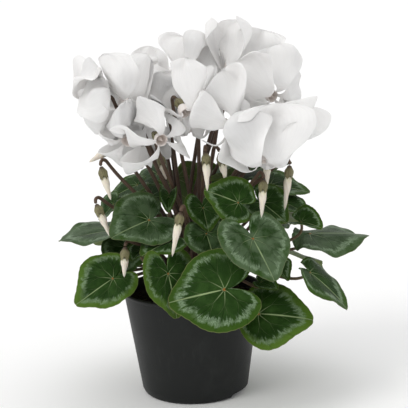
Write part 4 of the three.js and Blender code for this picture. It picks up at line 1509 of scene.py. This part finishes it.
@dataclass
class Flower:
    """One bloom: the frame that it is drawn in and the planes that its petals stay behind.

    Throat is how deep its bell is, and gap parts it from the calyx. A petal starts at the radius root,
    by behind back from the mouth, turns back over the share turn of its length, and then curls, opens
    and unrolls. It flares from the share claw of its width over the share flare of its length, and
    rounds off by narrowing over the shoulder's span. It keeps hook_clear from its own stem's hook,
    stem_clear from any stem and cell_clear from the planes half way to the other blooms. Its waves,
    from ripple to crease, are shares of its half width.
    """

    row: BloomRow
    number: int
    foot: Array
    throat: float = 8.6 * MM
    gap: float = 0.3 * MM
    curl: float = 0.5
    open: float = 0.60
    unroll: float = 1.70
    root: float = 4.6 * MM
    behind: float = 1.5 * MM
    turn: float = 0.3
    claw: float = 0.05
    flare: float = 0.7
    shoulder: float = 0.66
    shoulder_span: float = 0.34
    narrowing: float = 0.78
    hook_clear: float = 8.5 * MM
    stem_clear: float = 2.5 * MM
    cell_clear: float = 0.6 * MM
    soft: float = 0.25
    first_petal: float = 48.0
    petal_step: float = 66.0
    ripple: float = 0.16
    ruffle: float = 0.13
    frill: float = 0.24
    dent: float = 0.07
    crease: float = 0.10
    crease_width: float = 0.16

    def __post_init__(self) -> None:
        """Works out the flower's axis, its stem and the middle that crowding draws it towards."""
        facing, dip = self.row.facing * RADIANS, self.row.dip * RADIANS
        level = np.cos(dip)
        self.mouth = millimetres(self.row.mouth)
        self.axis = np.array([level * np.cos(facing), level * np.sin(facing), -np.sin(dip)])
        calyx_end = self.mouth - self.axis * (self.throat + self.gap)
        self.calyx_top = calyx_end - self.axis * Calyx.length
        self.stem = HookedStem(self.calyx_top, self.axis, self.foot)
        self.inward = self.stem.inward
        self.side = np.cross(self.axis, self.inward)
        self.length, self.width = self.row.length * MM, self.row.width * MM
        self.middle = self.mouth - self.axis * self.length * 0.35
        self.phase = (self.number - 1) * 1.7
        self.planes: list[tuple[Array, float]] = []

    def nearest(self, centres: Array) -> Array:
        """The point of a line that lies nearest to the bloom's middle.

        Args:
            centres: the line's points.

        Returns:
            The nearest of the points that are nearest on each stretch.
        """
        start, run = centres[:-1], np.diff(centres, axis=0)
        share = np.clip(np.sum((self.middle - start) * run, 1) / np.sum(run * run, 1), 0.0, 1.0)
        places = start + run * share[:, None]
        return places[np.argmin(np.linalg.norm(places - self.middle, axis=1))]

    def add_plane(self, point: Array, share: float, clear: float) -> None:
        """Adds the plane square to the way to a point, at a share of that way less a clearance."""
        toward = point - self.middle
        distance = float(np.linalg.norm(toward))
        self.planes.append((toward / distance, distance * share - clear))

    def drawn_in(self, points: Array) -> Array:
        """Points drawn in towards the middle, the harder the nearer they come to a plane.

        The limit along a direction is the tenth root of the sum of the tenth powers of its leans on
        the planes, turned over. Up to eight tenths of it a point stays, and past that it creeps up.

        Args:
            points: places in metres.

        Returns:
            The places drawn in.
        """
        offset = points - self.middle
        distance = np.linalg.norm(offset, axis=-1)
        crowd = np.zeros_like(distance)
        for normal, reach in self.planes:
            crowd += (np.maximum(offset @ normal / distance, 0.0) / reach) ** 10
        share = distance * np.maximum(crowd, 1e-30) ** 0.1
        kept = np.where(share < 0.8, share, 0.8 + 0.2 * np.tanh((share - 0.8) / 0.2))
        return self.middle + offset * (kept / np.maximum(share, 1e-9))[..., None]

    def midline(self, share: Array, curl: float) -> tuple[Array, Array, Array]:
        """A petal's midline: it leaves the mouth outward, turns back over itself and runs on.

        Its angle from the axis grows to the reflex over the first part and then curls on slowly.
        The radius and the way ahead are the running sums of the angle's sine and cosine.

        Args:
            share: places along the petal, in a column.
            curl: how fast the petal curls on, in radians over its length.

        Returns:
            The radius, the way ahead and the angle at each place.
        """
        steps = 24
        at = (np.arange(steps) + 0.5) / steps * share
        angle = self.row.reflex * RADIANS * np.minimum(at / self.turn, 1.0)
        angle = angle + curl * np.maximum(at - self.turn, 0.0)
        stretch = self.length * share[:, 0] / steps
        radius = self.root + np.sum(np.sin(angle), 1) * stretch
        ahead = -self.behind + np.sum(np.cos(angle), 1) * stretch
        return radius[:, None], ahead[:, None], angle[:, -1:]

    def half_width(self, share: Array) -> Array:
        """Half a petal's width as a share: it flares from its claw and rounds off past the shoulder."""
        spread = self.claw + (1.0 - self.claw) * smooth((share - 0.03) / self.flare)
        past = np.maximum(share - self.shoulder, 0.0) / self.shoulder_span
        return 0.5 * spread * np.sqrt(np.maximum(1.0 - self.narrowing * past**2, 0.0))

    def kept_between(self, angle: Array, low: Array, high: Array) -> Array:
        """An angle left as it is in the middle of its range and eased to the range's ends."""
        above = low + self.soft * np.log1p(np.exp((angle - low) / self.soft))
        return high - self.soft * np.log1p(np.exp((high - above) / self.soft))

    def petal(self, petal: int, share: Array, across: Array, outline: Array) -> Array:
        """Places on a petal.

        Across its midline a petal lies on an arc that twists with the share. The arc wraps round the
        flower near the base, and towards the tip it opens out or rolls back, each petal by its own
        measure. It ripples by sines and has a shallow crease along the middle. The bearing round the
        axis is kept out of the stem's gap.

        Args:
            petal: which of the five.
            share: places along it, in a column.
            across: places across it, from -1 to 1, in a row.
            outline: what the half width is scaled by at each place.

        Returns:
            The places in metres.
        """
        own = petal * 2.4 + self.phase
        radius0, ahead0, angle0 = self.midline(share, self.curl + 0.5 * np.sin(2.7 * own))
        half = self.width * self.half_width(share) * outline
        twist = (self.row.twist + 10.0 * np.sin(own)) * RADIANS * smooth(share * 3.0)
        ripple = self.ripple * np.sin(3.4 * across + own)
        outer = smooth((share - 0.3) / 0.55)
        ruffle = self.ruffle * np.sin(5.2 * across + 2.1 * own + 3.0 * share) * outer
        frill = self.frill * np.sin(12.0 * share + 2.2 * own + 1.5 * across) * across**3 * smooth(share / 0.4)
        dents = self.dent * np.sin(7.0 * share + 3.1 * across + 1.3 * own)
        dents = dents * np.sin(5.0 * across - 4.0 * share + own)
        crease = -self.crease * np.exp(-((across / self.crease_width) ** 2)) * outer
        roll = 0.6 + (self.unroll * np.sin(1.9 * own + 0.5) - self.open) * outer
        bowed = 0.5 * roll * (across * np.sinc(roll * across / (2.0 * np.pi))) ** 2 - 0.15 * roll
        wide = half * across * np.sinc(roll * across / np.pi)
        lift = half * smooth(share) * (ripple + bowed + ruffle + frill + crease + dents * outer)
        sideways = wide * np.cos(twist) - lift * np.sin(twist)
        outward = wide * np.sin(twist) + lift * np.cos(twist)
        radius = radius0 + outward * np.cos(angle0)
        ahead = ahead0 - outward * np.sin(angle0)
        around = (self.first_petal + self.petal_step * petal) * RADIANS
        clear = self.hook_clear * smooth((-ahead / MM - 1.0) / 7.0)
        pushed = (np.hypot(radius, sideways) ** 4 + clear**4) ** 0.25
        guard = np.arcsin(np.minimum(self.stem_clear / np.maximum(pushed, self.stem_clear), 1.0))
        angle = self.kept_between(around + np.arctan2(sideways, radius), guard, 2.0 * np.pi - guard)
        parts = (
            (pushed * np.cos(angle), self.inward),
            (pushed * np.sin(angle), self.side),
            (ahead, self.axis),
        )
        return self.drawn_in(self.mouth + sum(value[..., None] * axis for value, axis in parts))


@dataclass
class Flowers:
    """Every bloom, bud, calyx and flower stem, and the leaf stalks that share their crown.

    The crown is its section from the bottom's middle to the top's, in millimetres. A petal is fuller
    than its solid by petal_fullness, give or take petal_waver, widens by petal_flare past its middle,
    and is rounded off from the share rounded_from over rounded_over.
    """

    crown_bottom: float = 96.4 * MM
    crown_top: float = 104 * MM
    crown: tuple[tuple[float, float], ...] = (
        (0.0, 96.4),
        (13.0, 96.4),
        (15.0, 98.0),
        (14.4, 100.5),
        (12.6, 103.0),
        (0.0, 104.0),
    )
    stalk_ring: float = 12.5 * MM
    stem_ring: float = 8.5 * MM
    stalk_foot: float = 1.6 * MM
    stalk_tip: float = 1.2 * MM
    stalk_gap: float = 0.9 * MM
    stalk_seat: float = 0.7
    stalk_foot_pull: float = 0.4
    stalk_tip_pull: float = 0.25
    petal_thickness: float = 0.45 * MM
    petal_fullness: float = 1.17
    petal_waver: float = 0.035
    petal_flare: float = 0.22
    rounded_from: float = 0.84
    rounded_over: float = 0.16
    rows: int = 40
    columns: int = 29

    def __post_init__(self) -> None:
        """Gives every stalk and stem its foot, and every bloom its planes against neighbours and stems."""
        self.stalk_height = (self.crown_bottom + self.crown_top) / 2
        self.stem_height = self.crown_top - 1 * MM
        roots = np.array([millimetres(row.root) for row in LEAVES])
        self.stalk_feet = feet_for(roots, self.stalk_ring, self.stalk_height)
        tops = [millimetres(row.mouth) for row in BLOOMS] + [millimetres(row.calyx) for row in BUDS]
        feet = feet_for(np.array(tops), self.stem_ring, self.stem_height)
        self.blooms = [Flower(row, index + 1, feet[index]) for index, row in enumerate(BLOOMS)]
        self.buds = [self.bud_stem(row, feet[len(BLOOMS) + index]) for index, row in enumerate(BUDS)]
        for number, row in enumerate(INNER_BLOOMS, len(BLOOMS) + 1):
            self.blooms.append(Flower(row, number, self.inner_foot(row.foot, self.stem_height)))
        for flower in self.blooms:
            for other in self.blooms:
                if other is not flower:
                    flower.add_plane(other.middle, 0.5, flower.cell_clear)
                    flower.add_plane(flower.nearest(other.stem.chords), 1.0, flower.stem_clear)
            for stem in self.buds:
                flower.add_plane(flower.nearest(stem.chords), 1.0, flower.stem_clear)

    @staticmethod
    def bud_stem(row: BudRow, foot: Array) -> HookedStem:
        """The stem of a bud, which meets its calyx along the bud's own line."""
        start, end = millimetres(row.calyx), millimetres(row.tip)
        axis = unit(end - start)
        return HookedStem(start - axis * (Calyx.length + Flower.gap), axis, foot)

    def petal_surface(self, flower: Flower, petal: int) -> Surface:
        """One petal: two faces off a middle surface, which thin to nothing round its edge.

        Args:
            flower: the bloom.
            petal: which of its five.

        Returns:
            The closed surface.
        """
        share = np.linspace(0.0, 1.0, self.rows)[:, None]
        across = np.sin(np.linspace(-1.0, 1.0, self.columns) * np.pi / 2)[None, :]
        past = np.maximum(share - self.rounded_from, 0.0) / self.rounded_over
        flare = 1.0 + self.petal_flare * smooth((share - 0.5) / 0.4)
        outline = np.sqrt(np.maximum(1.0 - past**2.4, 0.0)) * flare
        waver = self.petal_waver * np.sin(13.0 * share + flower.phase + 2 * petal)
        wavy = outline * (self.petal_fullness + waver)
        wavy = wavy * np.minimum(share * (self.rows - 1), 1.0)
        middle = flower.petal(petal, share, across, wavy)
        normal = grid_normals(flower.petal(petal, np.minimum(share, 0.985), across, np.maximum(wavy, 0.15)))
        edge = np.sqrt(np.clip(1.0 - np.abs(across) ** 8, 0.0, 1.0)) * np.clip(share * 30.0, 0.0, 1.0)
        half = self.petal_thickness / 2 * edge * smooth((1.0 - share) * 14.0)
        mood = np.full_like(middle[..., 0], flower.phase + petal)
        marks = {"share": share, "across": across, "mood": mood}
        outer = grid(middle + normal * half[..., None], marks)
        inner = grid(middle - normal * half[..., None], marks, flipped=True)
        return welded(joined([outer, inner]))

    def throat_surface(self, flower: Flower) -> Surface:
        """The short bell behind the petals, its mouth and, deep in it, the cone of anthers.

        Args:
            flower: the bloom.

        Returns:
            The closed surface.
        """
        outside = np.array([(0.0, -8.6), (2.6, -8.6), (3.2, -8.3), (4.4, -6.0), (5.3, -3.0), (5.4, -0.6)])
        lip = np.array([(5.2, -0.1), (4.9, 0.0), (4.5, -0.4), (4.0, -2.0), (3.3, -4.5), (2.2, -6.0)])
        cone = np.array([(2.0, -5.6), (1.7, -3.6), (0.9, -1.6), (0.45, -1.0), (0.4, 0.9), (0.0, 1.1)])
        profile = np.concatenate([outside, lip, cone]) * MM
        depth = np.concatenate([np.full(6, 1.0), np.linspace(1.0, 0.1, 6), np.full(6, 0.55)])
        surface = lathe(profile, 40, {"share": depth, "across": 0 * depth, "mood": 0 * depth})
        return placed(welded(surface), flower.mouth, (flower.inward, flower.side, flower.axis))

    def make_blooms(self) -> None:
        """The blooms: five petals and a throat each."""
        finishes = [PetalFinish().material(), ThroatFinish().material()]
        for flower in self.blooms:
            petals = [self.petal_surface(flower, petal).finished(0) for petal in range(5)]
            whole = joined([*petals, self.throat_surface(flower).finished(1)])
            stands_for = f"bloom_{flower.number:02d}" if flower.number <= len(BLOOMS) else None
            make_piece(f"flower_{flower.number:02d}", whole, finishes, stands_for)

    def make_buds(self) -> None:
        """The furled buds."""
        finish = BudFinish().material()
        for number, (row, stem) in enumerate(zip(BUDS, self.buds), 1):
            surface = Bud(row, stem).surface(number * 1.3)
            make_piece(f"furled_bud_{number:02d}", surface, [finish], f"bud_{number:02d}")

    def make_calyces(self) -> None:
        """The calyces of blooms and buds, as one piece."""
        stems = [flower.stem for flower in self.blooms] + self.buds
        cups = [
            Calyx().surface(stem.calyx_top, stem.axis, stem.inward, index * 0.77)
            for index, stem in enumerate(stems)
        ]
        make_piece("calyces", joined(cups), [CalyxFinish().material()])

    @staticmethod
    def inner_foot(foot: tuple[float, float], height: float) -> Array:
        """A foot on the crown from its bearing in degrees, its radius in millimetres and its height."""
        bearing, radius = foot[0] * RADIANS, foot[1] * MM
        return np.array([radius * np.cos(bearing), radius * np.sin(bearing), height])

    def stalk_surface(self, blade: Blade, foot: Array) -> Surface:
        """A leaf's stalk: a Bezier tube that leaves the crown outward and meets the blade squarely.

        Args:
            blade: the leaf's blade.
            foot: where the stalk stands on the crown.

        Returns:
            The closed tube.
        """
        end = blade.root - blade.normal * self.stalk_gap
        reach = float(np.linalg.norm(end - foot))
        outward = unit(np.array([foot[0], foot[1], self.stalk_ring]))
        leaving = foot + outward * reach * self.stalk_foot_pull
        meeting = end - blade.normal * reach * self.stalk_tip_pull
        curve = bezier((foot, leaving, meeting, end), 28)
        centres = np.concatenate([curve, [end + blade.normal * self.stalk_gap * self.stalk_seat]])
        share = np.linspace(0.0, 1.0, len(centres))
        radii = self.stalk_foot + (self.stalk_tip - self.stalk_foot) * share
        radii[0] = radii[-1] = 0.0
        reference = unit(np.cross(UP, outward))
        marks = {"share": share, "mood": np.full_like(share, blade.phase)}
        return tube(centres, radii, reference, 10, marks)

    def make_stems(self) -> None:
        """The leaf stalks on their crown, and the flower stems."""
        blades = [Blade(row, number) for number, row in enumerate(LEAVES, 1)]
        stalks = [self.stalk_surface(blade, foot) for blade, foot in zip(blades, self.stalk_feet)]
        for number, row in enumerate(INNER_LEAVES, len(LEAVES) + 1):
            foot = self.inner_foot(row.foot, self.stalk_height)
            stalks.append(self.stalk_surface(Blade(row, number), foot))
        knob = np.array(self.crown) * MM
        marks = {"share": np.zeros(len(knob)), "mood": np.zeros(len(knob))}
        crown = welded(lathe(knob, 48, marks))
        stalk_finish = StalkFinish("stalk", low=(0.072, 0.038, 0.024), high=(0.120, 0.088, 0.045))
        stem_finish = StalkFinish("flower_stem", low=(0.078, 0.046, 0.030), high=(0.105, 0.064, 0.040))
        make_piece("leaf_stalks", joined([*stalks, crown]), [stalk_finish.material()], "stems")
        stems = [flower.stem for flower in self.blooms] + self.buds
        tubes = [stem.surface(index * 1.1) for index, stem in enumerate(stems)]
        make_piece("flower_stems", joined(tubes), [stem_finish.material()])

    def make(self) -> None:
        """Builds everything that rises from the crown but the blades."""
        self.make_stems()
        self.make_calyces()
        self.make_blooms()
        self.make_buds()


# Studio


def pose(right: Array, up: Array, back: Array, place: Array) -> Matrix:
    """The matrix of an object at a place with its own +X, +Y and +Z along right, up and back."""
    matrix = np.eye(4)
    matrix[:3, 0], matrix[:3, 1], matrix[:3, 2], matrix[:3, 3] = right, up, back, place
    return Matrix(matrix.tolist())


@dataclass(frozen=True)
class Lamp:
    """A far lamp, whose light falls evenly over plant and floor.

    Toward is the direction from the plant to it, softness how wide it looks from there in degrees, and
    power what falls on a square metre that faces it, in watts.
    """

    name: str
    toward: Triple
    softness: float
    power: float
    colour: Colour

    def make(self) -> None:
        """The lamp, turned so that it shines from its direction."""
        data = bpy.data.lights.new(self.name, "SUN")
        data.angle, data.energy, data.color = self.softness * RADIANS, self.power, self.colour
        back = unit(np.array(self.toward, float))
        right = unit(np.cross(UP, back))
        lamp = shown(bpy.data.objects.new(self.name, data))
        lamp.matrix_world = pose(right, np.cross(back, right), back, np.zeros(3))


@dataclass
class Studio:
    """The plain pale floor, the soft light and the camera at the photograph's viewing angle."""

    lamps: tuple[Lamp, ...] = (
        Lamp("key_lamp", (-1.0, -0.9, 1.2), 30.0, 0.88, (1.0, 0.99, 0.97)),
        Lamp("top_lamp", (0.3, 0.2, 1.6), 60.0, 0.42, (1.0, 1.0, 1.0)),
    )
    surround: float = 0.80
    paper: Colour = (0.95, 0.95, 0.95)
    floor_half: float = 40.0
    eye: Triple = (13, -1068, 378)
    pitch: float = 11.24
    roll: float = 2.0
    focal_pixels: float = 1260.0
    frame_pixels: float = 408.0
    sensor: float = 36.0

    def camera(self) -> None:
        """The camera: its right and up directions are turned about its line of sight by the roll."""
        pitch, roll = self.pitch * RADIANS, self.roll * RADIANS
        level = np.array([1.0, 0.0, 0.0])
        upright = np.array([0.0, np.sin(pitch), np.cos(pitch)])
        right = level * np.cos(roll) - upright * np.sin(roll)
        up = level * np.sin(roll) + upright * np.cos(roll)
        data = bpy.data.cameras.new("photograph_camera")
        data.sensor_width = self.sensor
        data.lens = self.sensor * self.focal_pixels / self.frame_pixels
        data.clip_start, data.clip_end = 0.05, 20.0
        camera = shown(bpy.data.objects.new("photograph_camera", data))
        camera.matrix_world = pose(right, up, np.cross(right, up), millimetres(self.eye))
        bpy.context.scene.camera = camera

    def floor(self) -> None:
        """A wide pale floor, which isn't part of the plant."""
        near, far = -self.floor_half, self.floor_half
        corners = [[(near, near, 0.0), (far, near, 0.0)], [(near, far, 0.0), (far, far, 0.0)]]
        surface = grid(np.array(corners), flipped=True)
        mesh = bpy.data.meshes.new("floor")
        mesh.from_pydata(surface.points.tolist(), [], surface.triangles.tolist())
        mesh.materials.append(Recipe("floor_paper").surface(Base_Color=self.paper, Roughness=0.9))
        floor = shown(bpy.data.objects.new("floor", mesh))

    def world(self) -> None:
        """An even white surround."""
        world = bpy.data.worlds.new("studio")
        world.use_nodes = True
        background = world.node_tree.nodes["Background"]
        background.inputs["Color"].default_value = (1.0, 1.0, 1.0, 1.0)
        background.inputs["Strength"].default_value = self.surround
        bpy.context.scene.world = world
        bpy.context.scene.view_settings.view_transform = "Standard"

    def make(self) -> None:
        """Sets up floor, surround, lamps and camera."""
        self.floor()
        self.world()
        for lamp in self.lamps:
            lamp.make()
        self.camera()


def write_sizes() -> None:
    """Brings the view layer up to date."""
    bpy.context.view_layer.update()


def main() -> None:
    """Builds the studio and the plant."""
    logging.basicConfig(level=logging.INFO, format="%(name)s %(message)s")
    pot = Pot()
    parts: list[tuple[str, Callable[[], None]]] = [
        ("studio", Studio().make),
        ("pot", pot.make),
        ("compost and tuber", Compost(pot).make),
        ("foliage", Foliage().make),
        ("flowers", Flowers().make),
    ]
    for name, make in parts:
        make()
        LOG.info("made the %s", name)
    write_sizes()


if __name__ == "__main__":
    main()
